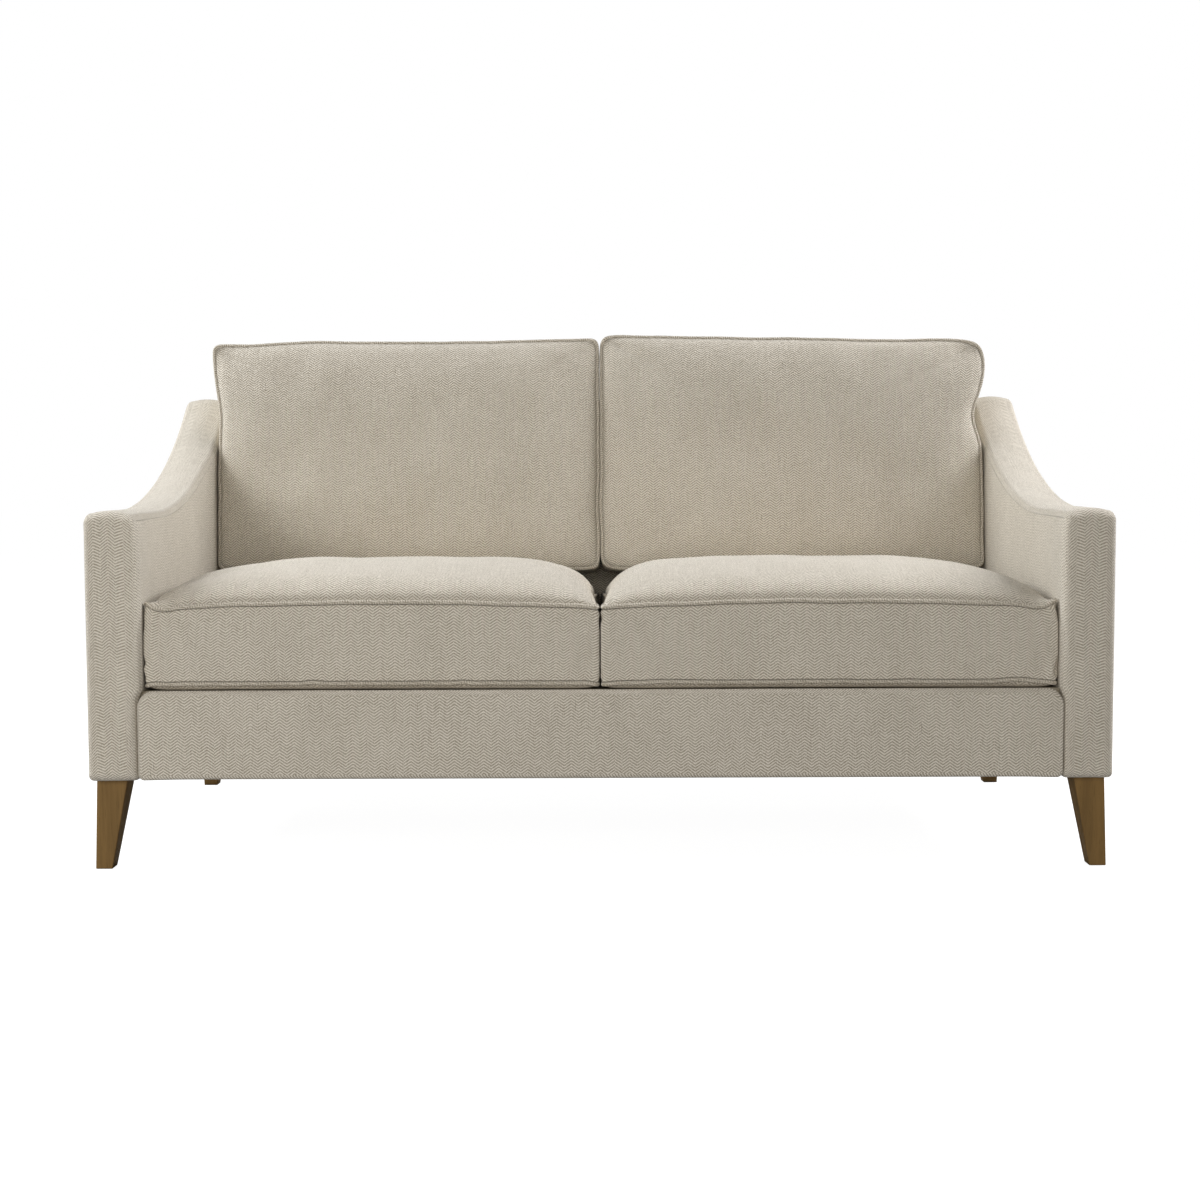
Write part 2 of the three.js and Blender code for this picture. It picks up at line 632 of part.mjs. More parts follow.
function backLowerRailSection(clearance) {
  return backBand(backRailInset, BACK_RAIL_THICKNESS, DECK_HEIGHT, lowerRailTop, clearance);
}

function backStile() {
  const section = backBand(backRailInset, BACK_RAIL_THICKNESS, lowerRailTop + GAP, topRailFoot - GAP);
  return extrudeX(section, -BACK_STILE_WIDTH / 2, BACK_STILE_WIDTH / 2);
}

function backWebbing() {
  const reach = sitWidth - WEBBING_WIDTH;
  const uprights = Array.from({ length: WEBBING_UPRIGHTS }, (_, i) => {
    const x = THREE.MathUtils.lerp(-reach, reach, (i + 0.5) / WEBBING_UPRIGHTS);
    const section = backBand(webbingInset, WEBBING, DECK_HEIGHT, topRailTop);
    return extrudeX(section, x - WEBBING_WIDTH / 2, x + WEBBING_WIDTH / 2);
  });
  const crosses = WEBBING_CROSS_SHARES.map((share) => {
    const z = THREE.MathUtils.lerp(DECK_HEIGHT, topRailTop, share);
    return extrudeX(backBand(webbingInset, WEBBING, z, z + WEBBING_WIDTH), -sitWidth, sitWidth);
  });
  return [...uprights, ...crosses].reduce((a, b) => a.add(b));
}

function insideBackShell(near, far, rearInset) {
  const footZ = deckTopAt(insideFaceAt(DECK_HEIGHT) - PLATFORM) + GAP;
  const outer = backOutline({
    frontInset: near,
    topInset: near,
    rearInset,
    footZ,
    round: insetRadius(BACK_TOP_ROUND, near),
  });
  const inner = backOutline({
    frontInset: far.front,
    topInset: far.top,
    rearInset: -OVERRUN,
    footZ: footZ - OVERRUN,
    round: insetRadius(BACK_TOP_ROUND, far.top),
  });
  return extrudeX(outer, -sitWidth, sitWidth).subtract(extrudeX(inner, -WIDTH, WIDTH));
}

function outsideBack() {
  const rear = line(vec2(back, outsideBackTop), downOutside);
  const inside = line(rear.p, rear.u, OUTSIDE_BACK);
  const [top, foot] = [outsideBackTop, LEG_HEIGHT].map((z) => line(vec2(0, z), backward));
  const section = [crossing(inside, foot), crossing(inside, top), crossing(rear, top), crossing(rear, foot)];
  return extrudeX(section, OUTSIDE_BACK_INSET - half, half - OUTSIDE_BACK_INSET);
}

// Cushions. Each is drawn in its own frame, lying on the middle of its underside: across, along and up.

function cushionSurface(form, inset) {
  const { width, length, boxing, crown, bow, drawIn, flare, shoulder, peak, innerSide, press } = form;
  const power = form.cornerPower;
  const at = (u, v, out) => {
    const norm = (Math.abs(u) ** power + Math.abs(v) ** power) ** (1 / power);
    const round = norm === 0 ? 0 : Math.max(Math.abs(u), Math.abs(v)) / norm;
    const [s, t] = [u * round, v * round];
    const grow = out - inset;
    const outer = Math.max(-s * innerSide, 0);
    const upper = THREE.MathUtils.smoothstep(t, FLARE_FROM_SHARE, 1);
    const draw = s * innerSide > 0 ? drawIn.inner : drawIn.outer;
    const across = s * (width / 2 + grow - draw * (1 - t * t)) - flare * outer * upper * innerSide;
    const fall = shoulder * THREE.MathUtils.smoothstep(outer, ...SHOULDER_SHARES) * upper;
    return vec2(across, t * (length / 2 + grow - drawIn.ends * (1 - s * s)) - fall);
  };
  const seam = (u, v) => boxing + bow * (1 - u * u * v * v);
  const swell = (u, v) => {
    const w = v < peak ? (v - peak) / (1 + peak) : (v - peak) / (1 - peak);
    const { inner, outer, front: nose, rear } = form.crownPowers;
    const across = Math.sqrt(1 - Math.abs(u) ** (u * innerSide > 0 ? inner : outer));
    const along = Math.sqrt(1 - Math.abs(w) ** (v < peak ? nose : rear));
    return crown * across * along;
  };
  const point = (u, v, out, height) => {
    const p = at(u, v, out);
    return new THREE.Vector3(p.x, p.y, height);
  };
  const top = (u, v, out, lift) => {
    const p = at(u, v, out);
    const height = seam(u, v) + lift + swell(u, v) - inset;
    return new THREE.Vector3(p.x, p.y, Math.min(height, press(p.y, v) - inset));
  };
  return { point, top, seam };
}

// The closed form of a cushion, drawn in by inset. Only its outermost form has piping.
function cushionForm(form, inset = 0) {
  const { point, top, seam } = cushionSurface(form, inset);
  const [us, vs] = [ACROSS_SHARES, form.alongShares];
  const loop = [
    ...us.slice(0, -1).map((u) => [u, -1]),
    ...vs.slice(0, -1).map((v) => [1, v]),
    ...us.slice(1).reverse().map((u) => [u, 1]),
    ...vs.slice(1).reverse().map((v) => [-1, v]),
  ];
  const ring = (out, height) => loop.map(([u, v]) => point(u, v, out, height(u, v)));
  const piped = inset === 0;
  const lower = piped ? LOWER_PIPING_SHARES : [[-0.5, 0]];
  const upper = piped ? UPPER_PIPING_SHARES : [];
  const rimOut = UPPER_PIPING_SHARES.at(-1)[0] * PIPING;
  const rimLift = UPPER_PIPING_SHARES.at(-1)[1] * PIPING;
  const rings = [
    ...lower.map(([out, lift]) => ring(out * PIPING, () => lift * PIPING + inset)),
    ring(CUSHION_BULGE, () => form.boxing / 2),
    ...upper.slice(0, -1).map(([out, lift]) => ring(out * PIPING, (u, v) => seam(u, v) + lift * PIPING)),
    loop.map(([u, v]) => top(u, v, rimOut, rimLift)),
  ];
  const triangles = [];
  for (let i = 0; i + 1 < us.length; i++) {
    for (let j = 0; j + 1 < vs.length; j++) {
      const [a, b, c, d] = [[i, j], [i + 1, j], [i + 1, j + 1], [i, j + 1]].map(([m, n]) =>
        top(us[m], vs[n], rimOut, rimLift),
      );
      triangles.push(a, b, c, a, c, d);
    }
  }
  return mergeGeometries([loft(rings, false), soup(triangles)]);
}

function addCushion(name, form, matrix) {
  const solid = (geometry) => solidOf(geometry.clone().applyMatrix4(matrix));
  const opening = (clearance) => {
    const wide = form.width * ZIP_SHARE - 2 * clearance;
    const high = ZIP_OPENING - 2 * clearance;
    const slot = new THREE.BoxGeometry(wide, 2 * OVERRUN, high);
    return solid(slot.translate(0, (form.zipEnd * form.length) / 2, form.boxing / 2));
  };
  const outer = solid(cushionForm(form));
  const hollow = solid(cushionForm(form, CUSHION_CLOTH));
  const cover = outer.subtract(hollow);
  add(`${name}_cushion_cover_${form.side}`, cover.subtract(opening(0)), FABRIC);
  add(`${name}_cushion_core_${form.side}`, solid(cushionForm(form, CUSHION_CLOTH + GAP)), FOAM);
  add(`${name}_cushion_zip_${form.side}`, cover.intersect(opening(GAP)), ZIP);
}

const pipingReach = Math.max(...UPPER_PIPING_SHARES.map(([out]) => out)) * PIPING;
const cushionSpace = armInner - CUSHION_CLEARANCE;
const cushionWidth = cushionSpace - CUSHION_CLEARANCE - 2 * pipingReach;
const cushionX = (CUSHION_CLEARANCE + cushionSpace) / 2;

// The back cushion's underside, as a line in the side view from where it meets the inside back
const backCushionFoot = deckTopAt(deckRear) + SEAT_BOXING + BACK_CUSHION_LIFT;
const undersideAt = (y) => backCushionFoot - (y - insideFaceAt(backCushionFoot)) * Math.tan(backRake);

function seatCushion(side) {
  const sign = side === "left" ? -1 : 1;
  const frontY = front + SEAT_SETBACK;
  const depth = (deckRear - SEAT_REAR_CLEARANCE - frontY) / Math.cos(deckPitch);
  const length = depth - 2 * pipingReach;
  const middle = depth / 2;
  const origin = vec2(
    frontY + middle * Math.cos(deckPitch) + GAP * Math.sin(deckPitch),
    deckTopAt(frontY) - middle * Math.sin(deckPitch) + GAP,
  );
  // Where the back cushion stands on it, the crown is pressed down to that cushion's underside.
  const tilt = Math.cos(deckPitch) + Math.sin(deckPitch) * Math.tan(backRake);
  const press = (along, v) => {
    if (v < PRESSED_FROM_SHARE) return Infinity;
    const level = undersideAt(origin.x + along * Math.cos(deckPitch)) + along * Math.sin(deckPitch);
    return (level - 2 * GAP - origin.y) / tilt;
  };
  const form = {
    side,
    width: cushionWidth,
    length,
    boxing: SEAT_BOXING,
    crown: SEAT_CROWN,
    bow: SEAT_SEAM_BOW,
    drawIn: SEAT_DRAW_IN,
    cornerPower: SEAT_CORNER_POWER,
    crownPowers: SEAT_CROWN_POWERS,
    shoulder: 0,
    flare: 0,
    peak: SEAT_PEAK_SHARE,
    innerSide: -sign,
    alongShares: SEAT_ALONG_SHARES,
    zipEnd: 1,
    press,
  };
  const matrix = new THREE.Matrix4().makeRotationX(-deckPitch);
  addCushion("seat", form, matrix.setPosition(sign * cushionX, origin.x, origin.y));
}

function backCushion(side) {
  const sign = side === "left" ? -1 : 1;
  const height = BACK_CUSHION_HEIGHTS[side];
  const form = {
    side,
    width: cushionWidth,
    length: height - 2 * pipingReach,
    boxing: BACK_CUSHION_BOXING,
    crown: BACK_CUSHION_CROWN,
    bow: BACK_CUSHION_SEAM_BOW,
    drawIn: BACK_CUSHION_DRAW_IN,
    cornerPower: BACK_CUSHION_CORNER_POWER,
    crownPowers: BACK_CUSHION_CROWN_POWERS,
    shoulder: BACK_CUSHION_SHOULDER,
    flare: BACK_CUSHION_FLARE,
    peak: 0,
    innerSide: -sign,
    alongShares: ACROSS_SHARES,
    zipEnd: -1,
    press: () => Infinity,
  };
  const y = insideFaceAt(backCushionFoot) + (height / 2) * Math.sin(backRake) - GAP;
  const z = backCushionFoot + (height / 2) * Math.cos(backRake);
  const matrix = new THREE.Matrix4().makeRotationX(Math.PI / 2 - backRake).setPosition(sign * cushionX, y, z);
  addCushion("back", form, matrix);
}

// The frame
addPair("front_arm_post", frontPost(), BEECH);
addPair("arm_top_rail", armTopRail(), BEECH);
addPair("back_post", backPost(), BEECH);
addPair("side_seat_rail", sideRail(), BEECH);
add("front_seat_rail", crossRail(frontRailSection(0)), BEECH);
add("rear_seat_rail", rearRail(), BEECH);
add("centre_seat_rail", centreRail(), BEECH);
addPair("corner_block_front", cornerBlock(frontRailRear + GAP, 1), BEECH);
addPair("corner_block_rear", cornerBlock(rearRailFront() - GAP, -1), BEECH);
add("back_top_rail", crossRail(backTopRailSection(0)), BEECH);
add("back_lower_rail", crossRail(backLowerRailSection(0)), BEECH);
add("back_centre_stile", backStile(), BEECH);
addPair("leg_front", leg(frontLeg), STAINED_WOOD);
addPair("leg_rear", leg(rearLeg), STAINED_WOOD);
addPair("hanger_bolt_front", bolt(frontLeg), STEEL);
addPair("hanger_bolt_rear", bolt(rearLeg), STEEL);

// The seat's support, the back's support and the padding
for (let i = 0; i < SPRING_COUNT; i++) {
  const x = ((i + 0.5) / SPRING_COUNT - 0.5) * 2 * armInner;
  add(`seat_spring_${i + 1}`, spring(x), STEEL);
}
add("seat_platform", platform(), LINING);
add("back_webbing", backWebbing(), STRAPS);
addPair("arm_padding", armPadding(), FOAM);
const foamFar = { front: COVER + BACK_FOAM, top: frameInset - GAP };
add("inside_back_foam", insideBackShell(COVER + GAP, foamFar, GAP), FOAM);

// The covers
addPair("arm_cover", armCover(), FABRIC);
add("front_border", border(), FABRIC);
add("inside_back_cover", insideBackShell(0, { front: COVER, top: COVER }, 0), FABRIC);
add("outside_back_cover", outsideBack(), FABRIC);
add("dust_cover", dustCover(), LINING);

// The loose cushions
["left", "right"].forEach((side) => {
  seatCushion(side);
  backCushion(side);
});

export default settee;
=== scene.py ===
"""High back settee: upholstered arms and back, loose piped cushions and stained wooden legs.

Metres, +Z up, front towards -Y, left towards -X. The origin is on the floor under the middle of the settee.
"""

import json
import math

import bmesh
import bpy
import numpy as np
from bpy.props import FloatProperty, FloatVectorProperty, IntProperty, PointerProperty
from mathutils import Matrix, Vector


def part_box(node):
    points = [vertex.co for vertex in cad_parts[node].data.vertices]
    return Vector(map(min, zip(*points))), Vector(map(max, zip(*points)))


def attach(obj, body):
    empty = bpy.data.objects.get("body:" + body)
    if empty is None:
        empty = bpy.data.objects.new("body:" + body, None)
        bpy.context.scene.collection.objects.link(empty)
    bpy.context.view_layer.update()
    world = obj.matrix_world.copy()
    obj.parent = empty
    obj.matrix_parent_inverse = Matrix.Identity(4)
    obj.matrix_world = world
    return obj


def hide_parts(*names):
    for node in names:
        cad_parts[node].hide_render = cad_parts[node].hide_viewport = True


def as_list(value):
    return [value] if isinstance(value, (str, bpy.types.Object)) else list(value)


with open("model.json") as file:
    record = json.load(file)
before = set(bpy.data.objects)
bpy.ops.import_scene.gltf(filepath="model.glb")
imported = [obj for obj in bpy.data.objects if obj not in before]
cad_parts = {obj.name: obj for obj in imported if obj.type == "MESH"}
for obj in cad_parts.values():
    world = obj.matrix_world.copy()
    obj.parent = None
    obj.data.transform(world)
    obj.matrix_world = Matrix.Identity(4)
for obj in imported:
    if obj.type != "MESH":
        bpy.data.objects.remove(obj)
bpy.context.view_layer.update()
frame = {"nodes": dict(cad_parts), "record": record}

bl_info = {
    "name": "High back settee",
    "version": (1, 0, 0),
    "blender": (4, 5, 0),
    "location": "View3D > Sidebar > Settee",
    "description": "Dresses a settee's frame in herringbone cloth, piped cushions and stained wood",
    "category": "Add Mesh",
}

MM = 0.001
SIDES = {"left": -1, "right": 1}

# Where the frame's pieces lie
ARM_LOW, ARM_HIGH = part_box("arm_cover_right")
BACK_LOW, BACK_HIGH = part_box("inside_back_cover")
PANEL_LOW, PANEL_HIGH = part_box("outside_back_cover")
BORDER_LOW, BORDER_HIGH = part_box("front_border")
PLATFORM_LOW, PLATFORM_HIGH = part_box("seat_platform")
DUST_LOW, DUST_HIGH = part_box("dust_cover")
FRONT = ARM_LOW.y
REAR = PANEL_HIGH.y
ARM_OUTER = ARM_HIGH.x
ARM_INNER = ARM_LOW.x
FOOT = ARM_LOW.z
BACK_HEIGHT = ARM_HIGH.z

# The arm's side view
ARM_FRONT_HEIGHT = 608 * MM
ARM_TOP_SLOPE = math.radians(0.6)
SWEEP_RADIUS = 917 * MM
CREST_RADIUS = 50 * MM
CREST_SETBACK = 126 * MM
ARM_FRONT_CORNER = 20 * MM
ARM_BACK_CORNER = 20 * MM
ARM_FOOT_CORNER = 16 * MM
ARM_FOOT_EDGE = 8 * MM
ARM_SWELL_SPARE = {"left": 0.6 * MM, "right": 0.8 * MM}  # left between the arms' padded edges and the cushions
FOOT_CLEARANCE = 0.15 * MM  # between the legs' tops and the frame's feet, where the cloth is turned under
COVER_GAP = 6.3 * MM  # from the rear of the outside back to the arms' rear edge

# The back and the seat's deck
BACK_TOP_DEPTH = 110 * MM
BACK_RAKE = math.radians(6.3)
OUTSIDE_RAKE = math.radians(2.3)
BACK_TOP_ROUND = 22 * MM
OUTSIDE_TOP = PANEL_HIGH.z
OUTSIDE_BACK = 6 * MM
DECK_HEIGHT = 306 * MM
DECK_PITCH = math.radians(2)
DECK_THICKNESS = 12 * MM
CLEARANCE = 0.3 * MM

# The cushions' common build
PIPING_REACH = 4.9 * MM  # from a cushion's outline to the outside of its piping
CUSHION_CLEARANCE = 1.5 * MM
BOXING_BULGE = 3.6 * MM
BOXING_STEP = 1.1 * MM  # from the outline to the boxing beside its pipings
FLARE_FROM = 0.28  # of half the height, where the outer sides begin to lean over the arms
SEAM_TUCK = 0.4 * MM  # of the panels' edges, inside the outline
SEAM_ROWS = (2.4, 3.1, 3.7, 4.2, 4.8, 5.6, 7, 10, 14, 20, 28, 38, 52)  # millimetres from a seam
SEAM_WAVER = 1.4 * MM
SHADE_LINE_GAP = 3.9 * MM  # from a seam to the line of painted shade beside its piping
FOAM_INSET = 9 * MM
ZIP_SHARE = 0.8  # of the side that it closes
ZIP_TAPE = 11 * MM  # width of each tape
ZIP_PITCH = 3.4 * MM  # from tooth to tooth

SEAT_SETBACK = 14 * MM
SEAT_REAR_CLEARANCE = 5 * MM
SEAT_BOXING = 139 * MM
SEAT_NARROW = {"left": 6.5 * MM, "right": 4 * MM}  # how far the seat cushions stay off the arms' inner faces
BACK_CUSHION_LIFT = 42 * MM
BACK_CUSHION_BOXING = 140 * MM
BACK_CUSHION_HEIGHTS = {"left": 471 * MM, "right": 480 * MM}
# The left and right cushions have settled differently: dents, leans, fallen shoulders and rounded corners
BACK_SETTLED = {
    "left": {
        "dent": 3 * MM, "corners": (42, 42, 36), "shoulder": 9 * MM, "shoulder_from": (0.5, 0.85),
        "outer": 1 * MM, "outer_grow": -4 * MM, "flare": 14 * MM, "top": 7 * MM,
    },
    "right": {
        "dent": 17 * MM, "corners": (26, 42, 13), "shoulder": 9 * MM, "shoulder_from": (-0.2, 0.6),
        "outer": 1 * MM, "outer_grow": 0.8 * MM, "flare": 9 * MM, "top": 8 * MM,
    },
}
BACK_SAG = 5 * MM  # of the foot of the back cushions, into the seat cushions' crown
MEANDER = 1.5 * MM  # of the line where the back cushions meet
DENT_PLACE, DENT_REACH = 0.29, 0.2  # of half a back cushion's height, up from its middle

# Where the padding of the arms' inner faces swells, as the two ends of each slope
PAD_SPREAD = 28 * MM  # over which it ends at the arm's long edges
PAD_FRONT = (FRONT + 14 * MM, FRONT + 110 * MM)
PAD_FOOT = (BORDER_HIGH.z - 12 * MM, BORDER_HIGH.z + 6 * MM)
PAD_TOP = (ARM_FRONT_HEIGHT - 40 * MM, ARM_FRONT_HEIGHT)
BACK_PAD_SPARE = 1.2 * MM  # left between it and the back cushions
BACK_PAD_FRONT = (REAR - 370 * MM, REAR - 300 * MM)
BACK_PAD_REAR = (REAR - 60 * MM, REAR)
BACK_PAD_FOOT = (DECK_HEIGHT + 60 * MM, DECK_HEIGHT + 110 * MM)

WELD = 0.001 * MM  # points closer than this are one
BEND_WEIGHT = 20 * MM  # of straight side for one radian of bend, when points are spread along it
ROUND = ("front", "top", "rear", "foot")  # the sides of a panel, in the order in which they are walked
FLAT_EDGES = (np.s_[0, :], np.s_[-1, :], np.s_[:, 0], np.s_[:, -1])


# Properties that a user would change


def length_property(name, description, default, least, most, precision=4):
    """A length given in millimetres."""
    return FloatProperty(
        name=name, description=description, subtype="DISTANCE", unit="LENGTH",
        default=default * MM, min=least * MM, max=most * MM, precision=precision,
    )


def colour_property(name, description, default):
    return FloatVectorProperty(
        name=name, description=description, subtype="COLOR", size=3, min=0, max=1, default=default,
    )


def power_property(name, place, default):
    return FloatProperty(
        name=name, description=f"Power of the lamp {place}", subtype="POWER", unit="POWER",
        default=default, min=0, max=1000,
    )


class SetteeCloth(bpy.types.PropertyGroup):
    """The herringbone cloth"""

    light_yarn: colour_property("Light yarn", "Colour of the pale warp", (0.80, 0.75, 0.655))
    dark_yarn: colour_property("Dark yarn", "Colour of the oatmeal weft", (0.335, 0.295, 0.225))
    column: length_property("Column", "Width of one column of the herringbone", 12.2, 2, 60)
    pitch: length_property("Pitch", "Height from one slanted rib to the next", 5.05, 1, 30)
    slant: FloatProperty(
        name="Slant", description="Slope of the ribs", subtype="ANGLE", unit="ROTATION",
        default=math.radians(35), min=0, max=math.radians(80),
    )
    rib_height: length_property("Rib height", "How far the ribs stand up", 0.5, 0, 3, precision=5)


class SetteeCushions(bpy.types.PropertyGroup):
    """The fullness of the loose cushions"""

    seat_crown: length_property("Seat crown", "Rise of a seat cushion's top over its piping", 72, 0, 90)
    seat_bow: length_property("Seat seam rise", "Rise of the upper piping in the middle of a side", 9, 0, 20)
    back_crown: length_property("Back crown", "Fullness of a back cushion's face over its piping", 42, 0, 60)
    back_bow: length_property(
        "Back seam rise", "How far the front piping stands forward in the middle of a side", 5, 0, 20,
    )
    pucker: length_property("Pucker", "Depth of the small gathers beside the piping", 0.9, 0, 5, precision=5)
    pinch: length_property("Pinch", "Depth of the folds that fan out from the corners", 1.9, 0, 8, precision=5)
    piping: length_property("Piping", "Thickness of the piping cord", 7.4, 3, 9)
    steps: IntProperty(name="Steps", description="Squares across a cushion's panel", default=96, min=24, max=200)


class SetteeFinishes(bpy.types.PropertyGroup):
    """Wood, foam and the cloth that doesn't show from the front"""

    stain: colour_property("Leg stain", "Colour of the legs", (0.215, 0.128, 0.043))
    beech: colour_property("Frame wood", "Colour of the bare frame", (0.56, 0.39, 0.21))
    foam: colour_property("Foam", "Colour of the foam", (0.80, 0.72, 0.52))
    lining: colour_property("Lining", "Colour of the cloth under the seat", (0.025, 0.023, 0.02))


class SetteeStudio(bpy.types.PropertyGroup):
    """Camera and lamps"""

    lens: FloatProperty(
        name="Lens", description="Focal length of the camera in millimetres", default=53.64, min=10, max=200,
    )
    high_left: power_property("High left", "high up on the left", 111.6)
    high_right: power_property("High right", "high up on the right", 119.7)
    front_left: power_property("Front left", "at the front left", 35.9)
    fill: power_property("Fill", "over the camera", 20.4)
    low_fill: power_property("Low fill", "under the camera", 10.2)
    rear: power_property("Rear", "behind the settee", 40.0)
    sky: FloatProperty(
        name="Surroundings", description="Strength of the even light all round", default=0.15, min=0, max=3,
    )


# Numbers and lines


def ripple(x, y, size, seed, count=7):
    """Smooth unevenness of about unit height, with about `size` metres from one crest to the next."""
    draw = np.random.default_rng(seed)
    heading = draw.uniform(0, math.tau, count)
    pace = draw.uniform(0.6, 1.5, count) * math.tau / size
    start = draw.uniform(0, math.tau, count)
    total = sum(
        np.sin(pace[k] * (x * math.cos(heading[k]) + y * math.sin(heading[k])) + start[k]) for k in range(count)
    )
    return total / math.sqrt(count)


def smooth(value, low, high):
    """0 below `low`, 1 above `high` and an even rise between them."""
    t = np.clip((value - low) / (high - low), 0, 1)
    return t * t * (3 - 2 * t)


def soft_least(a, b, width):
    """The lesser of two values, with the corner between them rounded off below both."""
    mix = np.clip(0.5 + 0.5 * (b - a) / width, 0, 1)
    return b * (1 - mix) + a * mix - width * mix * (1 - mix)


def hump(value, place, spread):
    """A smooth hump of height 1 where `value` is `place`."""
    return np.exp(-(((value - place) / spread) ** 2))


def unit(vectors):
    return vectors / np.linalg.norm(vectors, axis=-1, keepdims=True)


def crossing(point_a, along_a, point_b, along_b):
    """Where two lines of a side view meet."""
    sides = np.array([along_a, -np.asarray(along_b)]).T
    share = np.linalg.solve(sides, np.asarray(point_b) - np.asarray(point_a))[0]
    return np.asarray(point_a) + share * np.asarray(along_a)


def arc(centre, radius, start, end, steps, outward=1):
    """Points and outward directions along an arc of a side view."""
    angle = np.linspace(start, end, steps + 1)
    away = np.stack([np.cos(angle), np.sin(angle)], 1)
    return np.asarray(centre) + away * radius, away * outward


def rounded_corner(point_a, along_a, point_b, along_b, radius, steps=12):
    """The arc that rounds the corner between two lines walked clockwise, in two halves."""
    (ua, ub) = (unit(np.asarray(v, float)) for v in (along_a, along_b))
    (ia, ib) = (np.array([u[1], -u[0]]) for u in (ua, ub))
    centre = crossing(point_a + ia * radius, ua, point_b + ib * radius, ub)
    start = math.atan2(-ia[1], -ia[0])
    end = math.atan2(-ib[1], -ib[0])
    if end > start:
        end -= math.tau
    middle = (start + end) / 2
    return arc(centre, radius, start, middle, steps), arc(centre, radius, middle, end, steps)


def joined(*parts):
    return np.concatenate([p for p, _ in parts]), np.concatenate([n for _, n in parts])


def spaced(side, count, bend_weight=BEND_WEIGHT):
    """`count` + 1 points along a side, closer together where it bends."""
    points, away = side
    step = np.linalg.norm(np.diff(points, axis=0), axis=1)
    turn = np.linalg.norm(np.diff(away, axis=0), axis=1)
    at = np.concatenate([[0], np.cumsum(step + turn * bend_weight + 1e-9)])
    wanted = np.linspace(0, at[-1], count + 1)
    new_points = np.stack([np.interp(wanted, at, points[:, k]) for k in (0, 1)], 1)
    new_away = np.stack([np.interp(wanted, at, away[:, k]) for k in (0, 1)], 1)
    return new_points, unit(new_away)


def spanned(foot, rear, top, front):
    """A grid of points between four sides: foot and top run rearwards, front and rear run up."""
    a = np.linspace(0, 1, len(foot))[None, :, None]
    b = np.linspace(0, 1, len(front))[:, None, None]
    between = (1 - b) * foot[None] + b * top[None] + (1 - a) * front[:, None] + a * rear[:, None]
    corners = (
        (1 - a) * (1 - b) * foot[0] + a * (1 - b) * foot[-1] + (1 - a) * b * top[0] + a * b * top[-1]
    )
    return between - corners


def walked_round(sides, counts, bend_weight=BEND_WEIGHT):
    """Points and outward directions once round the four sides of a panel."""
    walked = [spaced(sides[k], counts[k], bend_weight) for k in ROUND]
    return (np.concatenate([side[i][:-1] for side in walked] + [walked[0][i][:1]]) for i in (0, 1))


def panel_in(ring, counts):
    """The grid of the panel that fills a ring of points."""
    cuts = np.cumsum([0] + [counts[k] for k in ROUND])
    front, top, rear, foot = (ring[a:b + 1] for a, b in zip(cuts[:-1], cuts[1:]))
    return spanned(foot[::-1], rear[::-1], top, front)


def calm_edges(grid):
    """1 over the panel and an even fall to 0 at its edges."""
    a = np.sin(np.linspace(0, math.pi, grid.shape[1]))[None]
    b = np.sin(np.linspace(0, math.pi, grid.shape[0]))[:, None]
    return np.minimum(1, 3 * np.minimum(a, b))


def rounded_box(x0, x1, z0, z1, top_round, foot_round):
    """Four sides of an upright rounded oblong seen from the front, walked clockwise from its lower left."""
    left_at, up = np.array([x0, z0]), np.array([0.0, 1.0])
    top_at, over = np.array([x0, z1]), np.array([1.0, 0.0])
    right_at, foot_at = np.array([x1, z1]), np.array([x1, z0])
    left_foot = rounded_corner(foot_at, -over, left_at, up, foot_round)
    left_top = rounded_corner(left_at, up, top_at, over, top_round)
    right_top = rounded_corner(top_at, over, right_at, -up, top_round)
    right_foot = rounded_corner(right_at, -up, foot_at, -over, foot_round)
    return sides_between(left_foot, left_top, right_top, right_foot)


def sides_between(foot_front, front_top, top_rear, rear_foot, along_top=()):
    """The four sides of a panel from the halves of its rounded corners and what lies along its top."""
    return {
        "front": joined(foot_front[1], front_top[0]),
        "top": joined(front_top[1], *along_top, top_rear[0]),
        "rear": joined(top_rear[1], rear_foot[0]),
        "foot": joined(rear_foot[1], foot_front[0]),
    }


def inside_face_at(z):
    """How far back the inside face of the back lies at a height."""
    return REAR - BACK_TOP_DEPTH - (BACK_HEIGHT - z) * math.tan(BACK_RAKE)


def deck_top_at(y):
    return DECK_HEIGHT - (y - FRONT) * math.tan(DECK_PITCH)


def back_corner():
    """How far back the deck meets the inside back, and how high the back cushions begin."""
    lean = math.tan(DECK_PITCH) * math.tan(BACK_RAKE)
    deck_rear = (inside_face_at(DECK_HEIGHT) + FRONT * lean) / (1 + lean)
    return deck_rear, deck_top_at(deck_rear) + SEAT_BOXING + BACK_CUSHION_LIFT


# Meshes


def lengths(points):
    """The cloth's own coordinates over a grid of points: metres across and along, from its middle."""
    def run(grid):
        step = np.linalg.norm(np.diff(grid, axis=1), axis=2)
        total = np.concatenate([np.zeros((len(grid), 1)), np.cumsum(step, axis=1)], axis=1)
        return total - total[:, [grid.shape[1] // 2]]
    across = run(points)
    along = run(points.transpose(1, 0, 2)).T
    return np.stack([across, along], 2)


def measured(grid):
    """A patch that carries its own lengths as the cloth's coordinates."""
    return grid, lengths(grid)


def slab(top, under):
    """The patches of a flat piece between two grids of points."""
    walls = [measured(np.stack([top[edge], under[edge]], 1)) for edge in FLAT_EDGES]
    return [(top, top[..., :2]), (under, under[..., :2]), *walls]


def closed_panel(rings, counts):
    """The patches of a panel with rounded edges: its edge from ring to ring, and its two faces."""
    faces = [panel_in(ring, counts) for ring in (rings[0], rings[-1])]
    return [measured(np.stack(rings, 1)), *((grid, grid[..., [0, 2]]) for grid in faces)]


